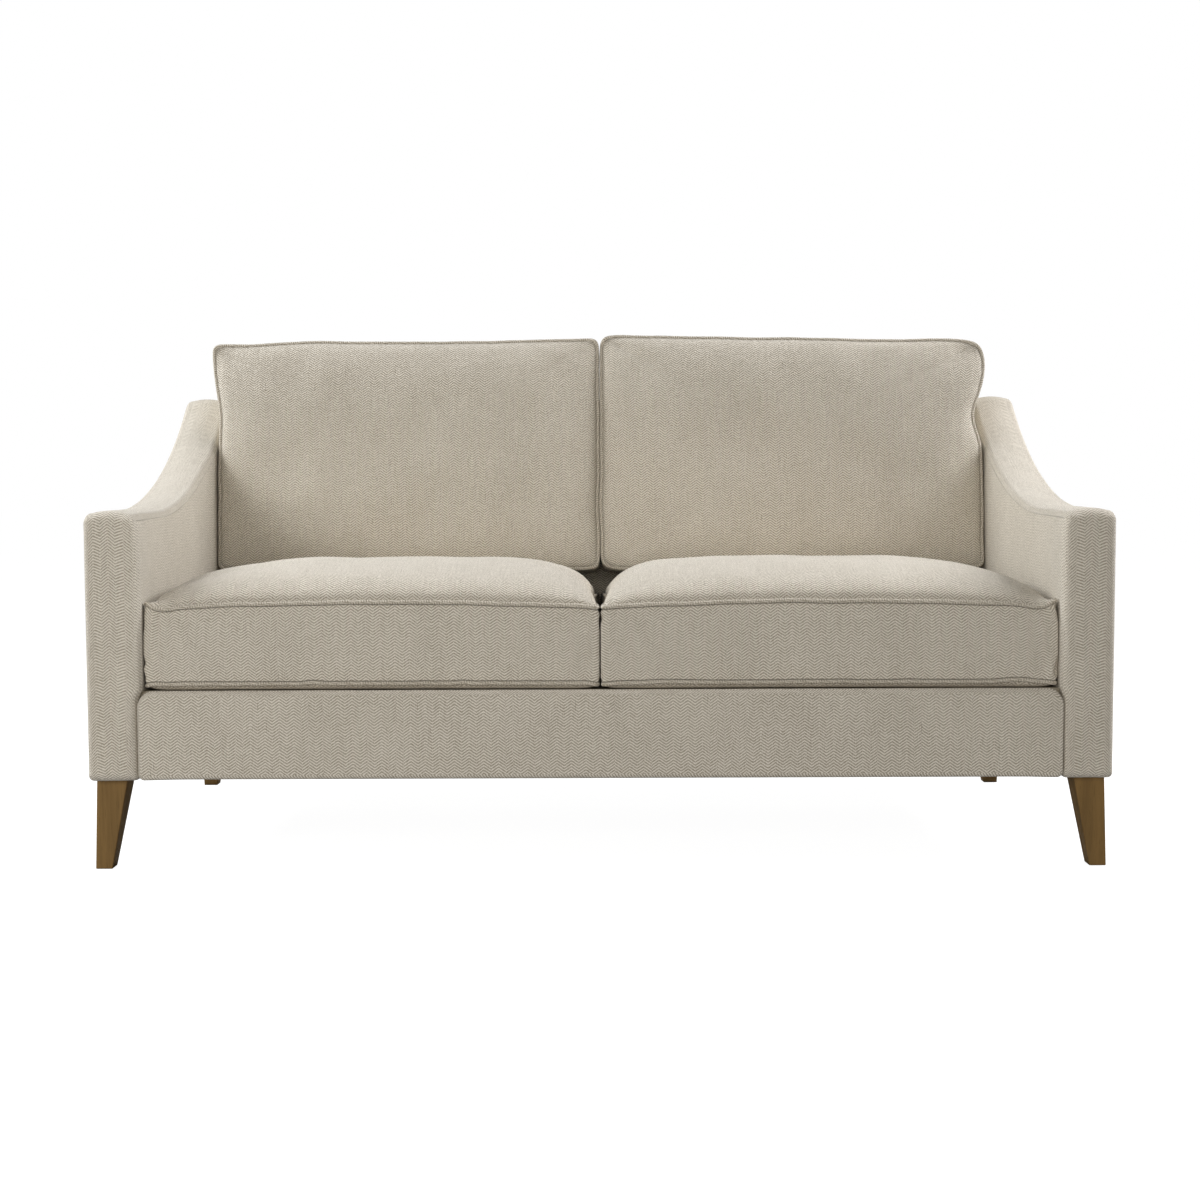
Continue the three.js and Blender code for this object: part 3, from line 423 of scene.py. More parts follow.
def flat_grid(low, high):
    """Points over a flat piece, and how far they lie from its middle as shares of half its sides."""
    x, y = np.meshgrid(np.linspace(low.x, high.x, 121), np.linspace(low.y, high.y, 61))
    return x, y, np.abs(x / high.x), np.abs((2 * y - low.y - high.y) / (high.y - low.y))


def sew(name, patches):
    """One mesh from grids of points, with their edges joined where they meet.

    Each patch is (points, cloth): rows x columns x 3, and the cloth's coordinates in metres, rows x columns x 2,
    or x 3 where the last one is 1 in the depth of a sewn crease, where the material paints shade into the colour.
    """
    points, faces, cloth = [], [], []
    start = 0
    for grid, coordinates in patches:
        rows, columns = grid.shape[:2]
        index = np.arange(rows * columns).reshape(rows, columns) + start
        quads = np.stack([index[:-1, :-1], index[:-1, 1:], index[1:, 1:], index[1:, :-1]], -1).reshape(-1, 4)
        faces.append(quads)
        points.append(grid.reshape(-1, 3))
        full = np.zeros((rows * columns, 3))
        full[:, :coordinates.shape[-1]] = coordinates.reshape(rows * columns, -1)
        cloth.append(full)
        start += rows * columns
    points, faces, cloth = np.concatenate(points), np.concatenate(faces), np.concatenate(cloth)
    places = np.round(points / WELD).astype(np.int64)
    _, first, same = np.unique(places, axis=0, return_index=True, return_inverse=True)
    corners = same.reshape(-1)[faces]
    kept, marks = [], []
    for old, new in zip(faces.tolist(), corners.tolist()):
        pairs = [(o, n) for k, (o, n) in enumerate(zip(old, new)) if n != new[k - 1]]
        if len(pairs) > 2 and len({n for _, n in pairs}) == len(pairs):
            kept.append([n for _, n in pairs])
            marks.extend(o for o, _ in pairs)
    mesh = bpy.data.meshes.new(name)
    mesh.from_pydata(points[first].tolist(), [], kept)
    attribute = mesh.attributes.new("cloth", "FLOAT_VECTOR", "CORNER")
    attribute.data.foreach_set("vector", cloth[marks].astype(np.float32).ravel())
    tidy = bmesh.new()
    tidy.from_mesh(mesh)
    bmesh.ops.recalc_face_normals(tidy, faces=tidy.faces)
    tidy.to_mesh(mesh)
    tidy.free()
    mesh.polygons.foreach_set("use_smooth", [True] * len(mesh.polygons))
    piece = bpy.data.objects.new(name, mesh)
    bpy.context.scene.collection.objects.link(piece)
    return piece


def cover(piece, material):
    piece.data.materials.clear()
    piece.data.materials.append(finish(material))


def make(name, patches, body, slot, material, nodes=(), fill=None):
    """Sews a piece and gives it its material, the body it moves with and the nodes that it stands for."""
    piece = sew(name, patches)
    cover(piece, material)
    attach(piece, body)
    if nodes:
        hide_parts(*nodes)
    return piece


def cord_round(path, outward, radius, sides=12):
    """A closed cord along a closed path of points, as one patch. `outward` points away from the cushion."""
    forward = unit(np.roll(path, -1, axis=0) - np.roll(path, 1, axis=0))
    side = unit(outward - forward * np.sum(outward * forward, 1, keepdims=True))
    rise = np.cross(forward, side)
    turn = np.linspace(0, math.tau, sides + 1)
    radius = np.broadcast_to(radius, (len(path),))[:, None, None]
    ring = (
        path[:, None]
        + radius * np.cos(turn)[None, :, None] * side[:, None]
        + radius * np.sin(turn)[None, :, None] * rise[:, None]
    )
    ring = np.concatenate([ring, ring[:1]])
    step = np.linalg.norm(np.diff(np.concatenate([path, path[:1]]), axis=0), axis=1)
    along = np.concatenate([[0], np.cumsum(step)])[:, None]
    around = (turn * float(np.mean(radius)))[None]
    bias = math.sqrt(0.5)
    cloth = np.stack([(along + around) * bias, (along - around) * bias], 2)
    return ring, cloth


# Materials


def emptied(owner):
    """The node tree of a material or a world, with nothing in it."""
    owner.use_nodes = True
    owner.node_tree.nodes.clear()
    return owner.node_tree


class Nodes:
    """A material's nodes, added one after the other."""

    def __init__(self, name):
        self.material = bpy.data.materials.new(name)
        self.tree = emptied(self.material)
        self.shader = self.add("ShaderNodeBsdfPrincipled")
        output = self.add("ShaderNodeOutputMaterial")
        self.tree.links.new(self.shader.outputs[0], output.inputs["Surface"])

    def add(self, kind, **settings):
        node = self.tree.nodes.new(kind)
        for key, value in settings.items():
            setattr(node, key, value)
        return node

    def feed(self, socket, value):
        if isinstance(value, bpy.types.NodeSocket):
            self.tree.links.new(value, socket)
        else:
            socket.default_value = value

    def math(self, operation, *values, clamp=False):
        node = self.add("ShaderNodeMath", operation=operation, use_clamp=clamp)
        for socket, value in zip(node.inputs, values):
            self.feed(socket, value)
        return node.outputs[0]

    def mix(self, share, a, b):
        """A colour between a and b."""
        node = self.add("ShaderNodeMix", data_type="RGBA")
        self.feed(node.inputs["Factor"], share)
        self.feed(node.inputs["A"], a)
        self.feed(node.inputs["B"], b)
        return node.outputs["Result"]

    def stretched(self, source, scale):
        node = self.add("ShaderNodeMapping")
        self.feed(node.inputs["Vector"], source)
        node.inputs["Scale"].default_value = scale
        return node.outputs[0]

    def noise(self, vector, scale=1.0, detail=2.0, rough=0.5):
        node = self.add("ShaderNodeTexNoise")
        self.feed(node.inputs["Vector"], vector)
        node.inputs["Scale"].default_value = scale
        node.inputs["Detail"].default_value = detail
        node.inputs["Roughness"].default_value = rough
        return node.outputs["Fac"]

    def ramp(self, value, low, high, to_low=0.0, to_high=1.0):
        node = self.add("ShaderNodeMapRange", interpolation_type="SMOOTHSTEP")
        for socket, number in zip(node.inputs, (value, low, high, to_low, to_high)):
            self.feed(socket, number)
        return node.outputs[0]

    def by_axes(self):
        """Places on the piece, by its own axes."""
        return self.add("ShaderNodeTexCoord").outputs["Object"]

    def surface(self, tint, roughness, **others):
        """Feeds the shader: others are its further sockets, with _ for the blanks in their names."""
        self.feed(self.shader.inputs["Base Color"], tint)
        self.feed(self.shader.inputs["Roughness"], roughness)
        for name, value in others.items():
            self.feed(self.shader.inputs[name.replace("_", " ")], value)

    def bump(self, height, distance, strength=1.0):
        node = self.add("ShaderNodeBump")
        node.inputs["Distance"].default_value = distance
        node.inputs["Strength"].default_value = strength
        self.feed(node.inputs["Height"], height)
        self.feed(self.shader.inputs["Normal"], node.outputs[0])


def colour(values):
    return (*values, 1.0)


def shade(values, factor):
    return tuple(min(v * factor, 1.0) for v in values)


def herringbone(name, settings, ribs=1.0, raised=1.0, painted_shade=0.0):
    """Oatmeal herringbone: slanted ribs in columns that turn about, slubs, yarns that vary, and painted shade."""
    n = Nodes(name)
    cloth = n.add("ShaderNodeAttribute", attribute_type="GEOMETRY", attribute_name="cloth").outputs["Vector"]
    drift = n.math("SUBTRACT", n.noise(n.stretched(cloth, (9, 9, 0)), detail=1), 0.5)
    parts = n.add("ShaderNodeSeparateXYZ")
    n.feed(parts.inputs[0], cloth)
    across = n.math("MULTIPLY_ADD", drift, 2.5 * MM, parts.outputs[0])
    along = n.math("MULTIPLY_ADD", drift, 3.5 * MM, parts.outputs[1])
    columns = n.math("DIVIDE", across, 2 * settings.column)
    zigzag = n.math("PINGPONG", columns, 0.5)
    climb = 2 * settings.column * math.tan(settings.slant) / settings.pitch
    phase = n.math("MULTIPLY_ADD", zigzag, climb, n.math("DIVIDE", along, settings.pitch))
    # Here and there a column is out of step with the one before it
    half_columns = n.math("MULTIPLY", columns, 2.0)
    draw = n.add("ShaderNodeTexWhiteNoise", noise_dimensions="1D")
    n.feed(draw.inputs["W"], n.math("FLOOR", half_columns))
    phase = n.math("MULTIPLY_ADD", n.math("GREATER_THAN", draw.outputs["Value"], 0.8), 0.4, phase)
    uneven = n.math("SUBTRACT", n.noise(n.stretched(cloth, (160, 420, 0)), detail=2), 0.5)
    phase = n.math("MULTIPLY_ADD", uneven, 0.45, phase)
    rib = n.math("MULTIPLY_ADD", n.math("SINE", n.math("MULTIPLY", phase, math.tau)), 0.5, 0.5)
    rib = n.ramp(rib, 0.2, 0.8)
    # The ribs end where the columns turn about
    turn = n.math("ABSOLUTE", n.math("SUBTRACT", n.math("FRACT", half_columns), 0.5))
    rib = n.math("MULTIPLY", rib, n.ramp(turn, 0.40, 0.5, 1.0, 0.85))
    # Every yarn differs a little from the next, upright and across
    upright = n.math("SUBTRACT", n.noise(n.stretched(cloth, (620, 16, 0)), detail=3, rough=0.6), 0.5)
    level = n.math("SUBTRACT", n.noise(n.stretched(cloth, (24, 620, 0)), detail=3, rough=0.6), 0.5)
    fleck = n.noise(n.stretched(cloth, (430, 560, 0)), detail=4, rough=0.75)
    cloud = n.math("SUBTRACT", n.noise(n.stretched(cloth, (7, 5, 0)), detail=3), 0.5)
    # Slubs are thick, darker lengths of yarn
    slub_up = n.ramp(n.noise(n.stretched(cloth, (420, 26, 0)), detail=1), 0.70, 0.78)
    slub_over = n.ramp(n.noise(n.stretched(cloth, (34, 460, 0)), detail=1), 0.73, 0.81)
    share = n.math("MULTIPLY", rib, n.ramp(fleck, 0.3, 0.7, 0.45 * ribs, 1.2 * ribs))
    # A darker share all over, given for the piping, is painted shade on the cord
    share = n.math("MULTIPLY_ADD", upright, 0.6, n.math("ADD", share, 0.25 * (1 - ribs) + painted_shade))
    share = n.math("MULTIPLY_ADD", level, 0.7, share)
    share = n.math("MULTIPLY_ADD", cloud, 0.3, share)
    share = n.math("MULTIPLY_ADD", slub_up, 0.4, share)
    share = n.math("MULTIPLY_ADD", slub_over, 0.25, share, clamp=True)
    tint = n.mix(share, colour(settings.light_yarn), colour(settings.dark_yarn))
    # The cloth's third coordinate says how deep it lies in a sewn crease, where the colour is darkened as painted
    # shade
    tint = n.mix(n.math("MULTIPLY", parts.outputs[2], 0.75), tint, colour(shade(settings.dark_yarn, 0.35)))
    rough = n.ramp(fleck, 0.2, 0.8, 0.82, 0.97)
    n.surface(tint, rough, Specular_IOR_Level=0.2, Sheen_Weight=0.15, Sheen_Roughness=0.5)
    height = n.math("MULTIPLY_ADD", rib, -0.8 * raised, n.math("MULTIPLY", fleck, 0.5))
    height = n.math("MULTIPLY_ADD", n.math("MAXIMUM", slub_up, slub_over), 0.5, height)
    n.bump(height, settings.rib_height)
    return n.material


def wood(name, stain, contrast, roughness, gloss=0.25):
    """Straight-grained wood whose grain runs along the piece's height."""
    n = Nodes(name)
    where = n.by_axes()
    grain = n.noise(n.stretched(where, (95, 95, 5)), detail=5, rough=0.6)
    pores = n.noise(n.stretched(where, (900, 900, 26)), detail=2)
    figure = n.noise(n.stretched(where, (22, 22, 2.2)), detail=2)
    share = n.math("MULTIPLY_ADD", n.math("SUBTRACT", figure, 0.5), 0.6, grain)
    share = n.ramp(share, 0.3, 0.75)
    tint = n.mix(share, colour(shade(stain, 1 + contrast)), colour(shade(stain, 1 - contrast)))
    tint = n.mix(n.ramp(pores, 0.62, 0.72, 0.0, 0.55), tint, colour(shade(stain, 0.45)))
    n.surface(tint, n.ramp(grain, 0.2, 0.8, roughness - 0.05, roughness + 0.1), Specular_IOR_Level=gloss)
    n.bump(n.math("MULTIPLY_ADD", pores, -0.6, grain), 0.15 * MM, 0.5)
    return n.material


def steel(name):
    """Drawn spring wire and bolts: grey, finely scratched, slightly darkened in places."""
    n = Nodes(name)
    where = n.by_axes()
    scratch = n.noise(n.stretched(where, (60, 60, 900)), detail=3)
    stain = n.noise(where, scale=18, detail=4)
    tint = n.mix(n.ramp(stain, 0.4, 0.75), colour((0.38, 0.39, 0.41)), colour((0.2, 0.19, 0.18)))
    n.surface(tint, n.ramp(scratch, 0.3, 0.7, 0.28, 0.5), Metallic=1.0)
    n.bump(scratch, 0.05 * MM, 0.4)
    return n.material


def moulded(name, tone, roughness):
    """Nylon: an even colour with a faint unevenness and a soft shine."""
    n = Nodes(name)
    where = n.by_axes()
    worn = n.noise(where, scale=300, detail=3)
    tint = n.mix(n.ramp(worn, 0.35, 0.7), colour(tone), colour(shade(tone, 0.8)))
    n.surface(tint, n.ramp(worn, 0.3, 0.7, roughness - 0.06, roughness + 0.1))
    n.bump(worn, 0.05 * MM, 0.5)
    return n.material


def cellular_foam(name, tone):
    """Cut foam: fine open cells with painted shade in their hollows, and a slight yellowing."""
    n = Nodes(name)
    where = n.by_axes()
    cells = n.add("ShaderNodeTexVoronoi", feature="F1")
    n.feed(cells.inputs["Vector"], where)
    cells.inputs["Scale"].default_value = 650
    age = n.noise(where, scale=6, detail=3)
    tint = n.mix(n.ramp(age, 0.3, 0.8), colour(tone), colour(shade(tone, 0.82)))
    hollow = cells.outputs["Distance"]
    # The cells' hollows are darkened as painted shade
    n.surface(n.mix(n.ramp(hollow, 0.1, 0.6, 0.35, 0.0), tint, colour(shade(tone, 0.55))), 0.95)
    n.bump(hollow, 0.6 * MM, 0.8)
    return n.material


def plain_weave(name, tone, thread, contrast):
    """A plain over-and-under weave of threads `thread` metres apart, placed by the piece's own axes."""
    n = Nodes(name)
    where = n.by_axes()
    parts = n.add("ShaderNodeSeparateXYZ")
    n.feed(parts.inputs[0], where)
    pace = math.tau / thread
    over = n.math("SINE", n.math("MULTIPLY", parts.outputs[0], pace))
    up = n.math("ADD", parts.outputs[1], parts.outputs[2])
    under = n.math("SINE", n.math("MULTIPLY", up, pace))
    crossings = n.math("MULTIPLY_ADD", n.math("MULTIPLY", over, under), 0.5, 0.5)
    lint = n.noise(where, scale=240, detail=4, rough=0.7)
    share = n.math("MULTIPLY", crossings, n.ramp(lint, 0.3, 0.7, 0.5, 1.2), clamp=True)
    tint = n.mix(share, colour(shade(tone, 1 - contrast)), colour(shade(tone, 1 + contrast)))
    n.surface(tint, n.ramp(lint, 0.2, 0.8, 0.85, 0.98))
    n.bump(n.math("ADD", crossings, lint), thread * 0.2, 0.7)
    return n.material


def finish(name):
    """The material of that name, made when it is first asked for."""
    found = bpy.data.materials.get(name)
    if found:
        return found
    scene = bpy.context.scene
    look, cloth = scene.settee_finishes, scene.settee_cloth
    maker, *settings = {
        "herringbone_cloth": (herringbone, cloth),
        # The piping is drawn darker than the panels, as painted shade on a cord that catches the light from above
        "piping_cloth": (herringbone, cloth, 0.8, 0.35, 0.22),
        "stained_wood": (wood, look.stain, 0.14, 0.55, 0.18),
        "bare_beech": (wood, look.beech, 0.14, 0.65),
        "drawn_steel": (steel,),
        "cut_foam": (cellular_foam, look.foam),
        "black_lining": (plain_weave, look.lining, 1.2 * MM, 0.4),
        "hessian_webbing": (plain_weave, (0.165, 0.125, 0.09), 2.4 * MM, 0.3),
        "platform_cloth": (plain_weave, (0.45, 0.40, 0.31), 1.5 * MM, 0.15),
        "zip_tape": (plain_weave, (0.34, 0.30, 0.24), 0.8 * MM, 0.15),
        "zip_teeth": (moulded, (0.30, 0.26, 0.20), 0.42),
        "zip_metal": (steel,),
    }[name]
    return maker(name, *settings)


# The arm's side view


def arm_sides():
    """Four sides of the arm's side view, as points and outward directions, walked clockwise from the foot."""
    top_along = np.array([math.cos(ARM_TOP_SLOPE), math.sin(ARM_TOP_SLOPE)])
    rear_along = np.array([-math.sin(OUTSIDE_RAKE), -math.cos(OUTSIDE_RAKE)])
    foot_z = FOOT - FOOT_CLEARANCE
    foot_at, foot_along = np.array([REAR, foot_z]), np.array([-1.0, 0.0])
    front_at, front_along = np.array([FRONT, foot_z]), np.array([0.0, 1.0])
    top_at = np.array([FRONT, ARM_FRONT_HEIGHT])
    flat_at, flat_along = np.array([FRONT, BACK_HEIGHT]), np.array([1.0, 0.0])
    rear_at = np.array([REAR - COVER_GAP, OUTSIDE_TOP])
    foot_front = rounded_corner(foot_at, foot_along, front_at, front_along, ARM_FOOT_CORNER)
    front_top = rounded_corner(front_at, front_along, top_at, top_along, ARM_FRONT_CORNER)
    top_rear = rounded_corner(flat_at, flat_along, rear_at, rear_along, ARM_BACK_CORNER)
    rear_foot = rounded_corner(rear_at, rear_along, foot_at, foot_along, ARM_FOOT_CORNER)
    # The hollow sweep leaves the arm's top smoothly and rolls over the round crest
    crest = np.array([REAR - CREST_SETBACK, BACK_HEIGHT - CREST_RADIUS])
    lift = np.array([-top_along[1], top_along[0]]) * SWEEP_RADIUS
    gap = top_at + lift - crest
    run = gap @ top_along
    reach = (SWEEP_RADIUS + CREST_RADIUS) ** 2 - gap @ gap + run**2
    centre = crest + gap - top_along * (run + math.sqrt(reach))
    to_crest = math.atan2(*(crest - centre)[::-1])
    hollow = arc(centre, SWEEP_RADIUS, ARM_TOP_SLOPE - math.pi / 2, to_crest, 60, -1)
    roll = arc(crest, CREST_RADIUS, to_crest + math.pi, math.pi / 2, 24)
    return sides_between(foot_front, front_top, top_rear, rear_foot, (hollow, roll))


class SETTEE_OT_arms(bpy.types.Operator):
    """Covers both arms: flat sides, a crowned band round the edge and rolled corners with sewn edges"""

    bl_idname = "settee.arms"
    bl_label = "Cover the arms"

    edge: FloatProperty(name="Edge", description="Roundness of the long edges", default=13 * MM, unit="LENGTH")
    crown: FloatProperty(name="Crown", description="Rise of the band in its middle", default=4 * MM, unit="LENGTH")
    seam: FloatProperty(name="Seam", description="Depth of the sewn line", default=1.3 * MM, unit="LENGTH")

    COUNTS = {"front": 60, "top": 130, "rear": 60, "foot": 130}
    SEAM_TURN, SEAM_SPREAD = 0.42, 0.13  # where the sewn line lies on the roll, and its width, in radians
    BAND_WAVER, SIDE_WAVER, SIDE_HOLLOW = 0.35 * MM, 0.5 * MM, 0.3 * MM

    def band(self, points, away, side):
        """Rings from the outer face, over the edge and the band, to the inner face."""
        top = smooth(away[:, 1], 0.1, 0.9)
        foot = smooth(-away[:, 1], 0.1, 0.9)
        edge = self.edge + (ARM_FOOT_EDGE - self.edge) * foot
        width = ARM_OUTER - ARM_INNER
        turns = np.linspace(0, math.pi / 2, 9)
        crossways = [(0.0, turn) for turn in turns]
        crossways += [(share, math.pi / 2) for share in np.linspace(0, 1, 13)[1:-1]]
        crossways += [(1.0, turn) for turn in turns[::-1]]
        rings = []
        for share, turn in crossways:
            roll, across, groove = edge * (1 - math.cos(turn)), edge + (width - 2 * edge) * share, 0
            if share in (0, 1):
                across = width - roll if share else roll
                groove = self.seam * hump(turn, self.SEAM_TURN, self.SEAM_SPREAD) * (1 - foot)
            x = ARM_OUTER - across - groove * math.cos(turn) * (-1 if share else 1)
            fall = self.crown * top * (2 * share - 1) ** 2
            inset = edge * (1 - math.sin(turn)) + fall + groove * math.sin(turn)
            uneven = self.BAND_WAVER * ripple(points[:, 0] + x, points[:, 1], 0.13, 11 + side) * math.sin(turn)
            q = points - away * (inset - uneven)[:, None]
            rings.append(np.stack([np.broadcast_to(x, len(q)), q[:, 0], q[:, 1]], 1))
        return np.stack(rings, 1)

    def padded_edge(self, grid, side):
        """Swells the padding of the inner face to meet the seat cushion's corner and the back cushion's side."""
        y, z = grid[..., 1], grid[..., 2]
        inner = smooth(1 - (grid[..., 0] - ARM_INNER) / PAD_SPREAD, 0, 1)
        reach = SEAT_NARROW[side] + CUSHION_CLEARANCE - ARM_SWELL_SPARE[side]
        along = 1 - smooth(y, *PAD_FRONT)
        up = smooth(z, *PAD_FOOT) * (1 - smooth(z, *PAD_TOP))
        beside = max(CUSHION_CLEARANCE - BACK_SETTLED[side]["outer_grow"] - BACK_PAD_SPARE, 0)
        back = smooth(y, *BACK_PAD_FRONT) * (1 - smooth(y, *BACK_PAD_REAR))
        moved = grid.copy()
        moved[..., 0] -= reach * inner * along * up
        moved[..., 0] -= beside * inner * back * smooth(z, *BACK_PAD_FOOT)
        return moved

    def execute(self, context):
        points, away = walked_round(arm_sides(), self.COUNTS)
        for side, sign in SIDES.items():
            band = self.band(points, away, sign)
            patches = [measured(band)]
            for ring in (band[:, 0], band[:, -1]):
                # A little unevenness in the middle of the panel, none at its edge
                grid = panel_in(ring, self.COUNTS)
                waver = ripple(grid[..., 1], grid[..., 2], 0.21, 21 + sign)
                grid[..., 0] += calm_edges(grid) * (self.SIDE_WAVER * waver - self.SIDE_HOLLOW)
                patches.append((grid, grid[..., 1:]))
            patches = [(self.padded_edge(grid, side) * np.array([sign, 1, 1]), cloth) for grid, cloth in patches]
            make(
                f"arm_upholstery_{side}", patches, "frame", "upholstery", "herringbone_cloth",
                [f"arm_cover_{side}"], fill=0.9,
            )
        return {"FINISHED"}


class SETTEE_OT_border(bpy.types.Operator):
    """Covers the front border under the seat cushions"""

    bl_idname = "settee.border"
    bl_label = "Cover the front border"

    edge: FloatProperty(name="Edge", description="Roundness of its long front edges", default=8 * MM, unit="LENGTH")
    end_edge: FloatProperty(name="End edge", description="Roundness of its ends", default=3 * MM, unit="LENGTH")
    corner: FloatProperty(name="Corner", description="Roundness of its upper corners", default=26 * MM, unit="LENGTH")
    foot_corner: FloatProperty(
        name="Foot corner", description="Roundness of its lower corners", default=9 * MM, unit="LENGTH",
    )

    COUNTS = {"front": 24, "top": 150, "rear": 24, "foot": 150}
    LIFT = 2 * MM  # of its upper front edge
    DROOP, DROOP_REACH = 1.4 * MM, 45 * MM  # of its lower front edge towards the ends

    def execute(self, context):
        low, high = BORDER_LOW, BORDER_HIGH
        sides = rounded_box(low.x, high.x, low.z, high.z, self.corner, self.foot_corner)
        points, away = walked_round(sides, self.COUNTS)
        edge = self.end_edge + (self.edge - self.end_edge) * np.abs(away[:, 1])
        droop = self.DROOP * hump(high.x - np.abs(points[:, 0]), 0, self.DROOP_REACH) * np.maximum(-away[:, 1], 0)
        lift = self.LIFT * np.maximum(away[:, 1], 0) - droop
        rings = []
        for turn in np.linspace(0, math.pi / 2, 7):
            q = points - away * (edge * (1 - math.sin(turn)))[:, None]
            rings.append(np.stack([q[:, 0], low.y + edge * (1 - math.cos(turn)), q[:, 1] + lift], 1))
        for share in (0.5, 1.0):
            y = low.y + self.edge + (high.y - low.y - self.edge) * share
            rings.append(np.stack([points[:, 0], np.full(len(points), y), points[:, 1]], 1))
        make(
            "front_border_upholstery", closed_panel(rings, self.COUNTS), "frame", "upholstery",
            "herringbone_cloth", ["front_border"], fill=0.95,
        )
        return {"FINISHED"}


class SETTEE_OT_back(bpy.types.Operator):
    """Covers the inside and the outside of the back"""

    bl_idname = "settee.back"
    bl_label = "Cover the back"

    thickness: FloatProperty(name="Thickness", description="Of the padded cover", default=10 * MM, unit="LENGTH")

    EDGE = 3 * MM  # roundness of the outside panel's edges
    COUNTS = {"front": 50, "top": 130, "rear": 50, "foot": 130}

    def inside(self):
        """The inside back: up its raked face, over the rounded top and back to the outside panel."""
        rake, level = np.array([math.sin(BACK_RAKE), math.cos(BACK_RAKE)]), np.array([1.0, 0.0])
        face_at = np.array([inside_face_at(BACK_LOW.z), BACK_LOW.z])
        top_at, rear_top = np.array([FRONT, BACK_HIGH.z]), np.array([BACK_HIGH.y, BACK_HIGH.z])
        corner, corner_away = joined(*rounded_corner(face_at, rake, top_at, level, BACK_TOP_ROUND))
        outer = np.concatenate([
            face_at + (corner[0] - face_at) * np.linspace(0, 1, 50)[:-1, None],
            corner,
            corner[-1] + (rear_top - corner[-1]) * np.linspace(0, 1, 12)[1:, None],
        ])
        away = np.concatenate([np.tile([-rake[1], rake[0]], (49, 1)), corner_away, np.tile([0.0, 1.0], (11, 1))])
        ring = np.concatenate([outer, (outer - away * self.thickness)[::-1], outer[:1]])
        xs = np.linspace(BACK_LOW.x, BACK_HIGH.x, 121)
        grid = np.zeros((len(xs), len(ring), 3))
        grid[..., 0] = xs[:, None]
        grid[..., 1:] = ring
        cloth = np.stack([grid[..., 0], lengths(grid.transpose(1, 0, 2))[..., 1].T], 2)
        count = len(outer)
        hollow = -0.6 * MM + 0.5 * MM * ripple(grid[:, :count, 0], grid[:, :count, 2], 0.3, 41)
        fade = np.minimum(1, np.minimum(np.arange(count), np.arange(count)[::-1]) / 6)
        grid[:, :count, 1] -= hollow * fade
        grid[:, -1] = grid[:, 0]
        caps = [np.stack([grid[end, :count], grid[end, count:2 * count][::-1]], 1) for end in (0, -1)]
        make(
            "inside_back_upholstery", [(grid, cloth), *((cap, cap[..., 1:]) for cap in caps)], "frame",
            "upholstery", "herringbone_cloth", ["inside_back_cover"], fill=0.9,
        )

    def outside(self):
        """The outside back: one tight panel, sewn in by hand all round, with rounded edges."""
        low, high, edge = PANEL_LOW, PANEL_HIGH, self.EDGE
        sides = rounded_box(low.x, high.x, low.z, high.z, 2 * edge, edge)
        points, away = walked_round(sides, self.COUNTS, edge)

        def rear_at(z):
            return REAR - (OUTSIDE_TOP - z) * math.tan(OUTSIDE_RAKE)

        rings = []
        for turn in np.linspace(0, math.pi / 2, 6):
            q = points - away * (edge * (1 - math.sin(turn)))
            rings.append(np.stack([q[:, 0], rear_at(q[:, 1]) - edge * (1 - math.cos(turn)), q[:, 1]], 1))
        inner_y = rear_at(points[:, 1]) - OUTSIDE_BACK / math.cos(OUTSIDE_RAKE)
        rings.append(np.stack([points[:, 0], inner_y, points[:, 1]], 1))
        make(
            "outside_back_upholstery", closed_panel(rings, self.COUNTS), "frame", "upholstery",
            "herringbone_cloth", ["outside_back_cover"], fill=1.0,
        )

    def execute(self, context):
        self.inside()
        self.outside()
        return {"FINISHED"}


class SETTEE_OT_deck(bpy.types.Operator):
    """Makes the cloth platform under the cushions and the dust cover under the seat"""

    bl_idname = "settee.deck"
    bl_label = "Make the deck"

    sag: FloatProperty(name="Sag", description="Of the platform between its rails", default=5 * MM, unit="LENGTH")

    SAG_SHOWN = 0.35  # share of the sag that the felt on top of the cloth doesn't fill
    WRINKLE = 0.4 * MM

    def execute(self, context):
        x, y, across, along = flat_grid(PLATFORM_LOW, PLATFORM_HIGH)
        span_x, span_y = 1 - across**4, 1 - along**4
        dip = self.sag * span_x * span_y
        top = np.stack([x, y, deck_top_at(y) - dip * self.SAG_SHOWN], 2)
        top[..., 2] -= self.WRINKLE * (1 + ripple(x, y, 0.16, 61)) * np.minimum(1, 4 * np.minimum(span_x, span_y))
        under = np.stack([x, y, deck_top_at(y) - DECK_THICKNESS / math.cos(DECK_PITCH)], 2)
        make(
            "seat_platform_cloth", slab(top, under), "frame", "lining", "platform_cloth",
            ["seat_platform"], fill=0.8,
        )
        low, high = DUST_LOW, DUST_HIGH
        x, y, across, along = flat_grid(low, high)
        span = np.minimum(1, 5 * np.minimum(1 - across, 1 - along))
        wave = span * (0.9 * MM + 0.6 * MM * ripple(x, y, 0.22, 71))
        under = np.stack([x, y, low.z - wave], 2)
        top = under + np.array([0, 0, high.z - low.z])
        piece = make("dust_cover_cloth", slab(top, under), "frame", "lining", "black_lining", ["dust_cover"])
        flat, rails = (high.x - low.x, high.y - low.y), ["front_seat_rail", "rear_seat_rail"]
        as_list(rails)
        return {"FINISHED"}


# Loose cushions, drawn lying on the middle of their underside: across, along and up


def cushion_form(name, side, seed, **own):
    """What the cushions have in common, with what is each one's own."""
    sign = SIDES[side]
    return {
        "name": name, "side": side, "inner": -sign, "seed": seed + 7 * sign,
        "width": ARM_INNER - 2 * CUSHION_CLEARANCE - 2 * PIPING_REACH, "meander": 0.0, "press": None,
        "flare": 0.0, "dent": 0.0, "shoulder": 0.0, "shoulder_from": (0, 1), **own,
    }


def laid(side, y, z, turn):
    """The place of a cushion at y and z, tilted by `turn`."""
    return Matrix.Translation((SIDES[side] * ARM_INNER / 2, y, z)) @ Matrix.Rotation(turn, 4, "X")


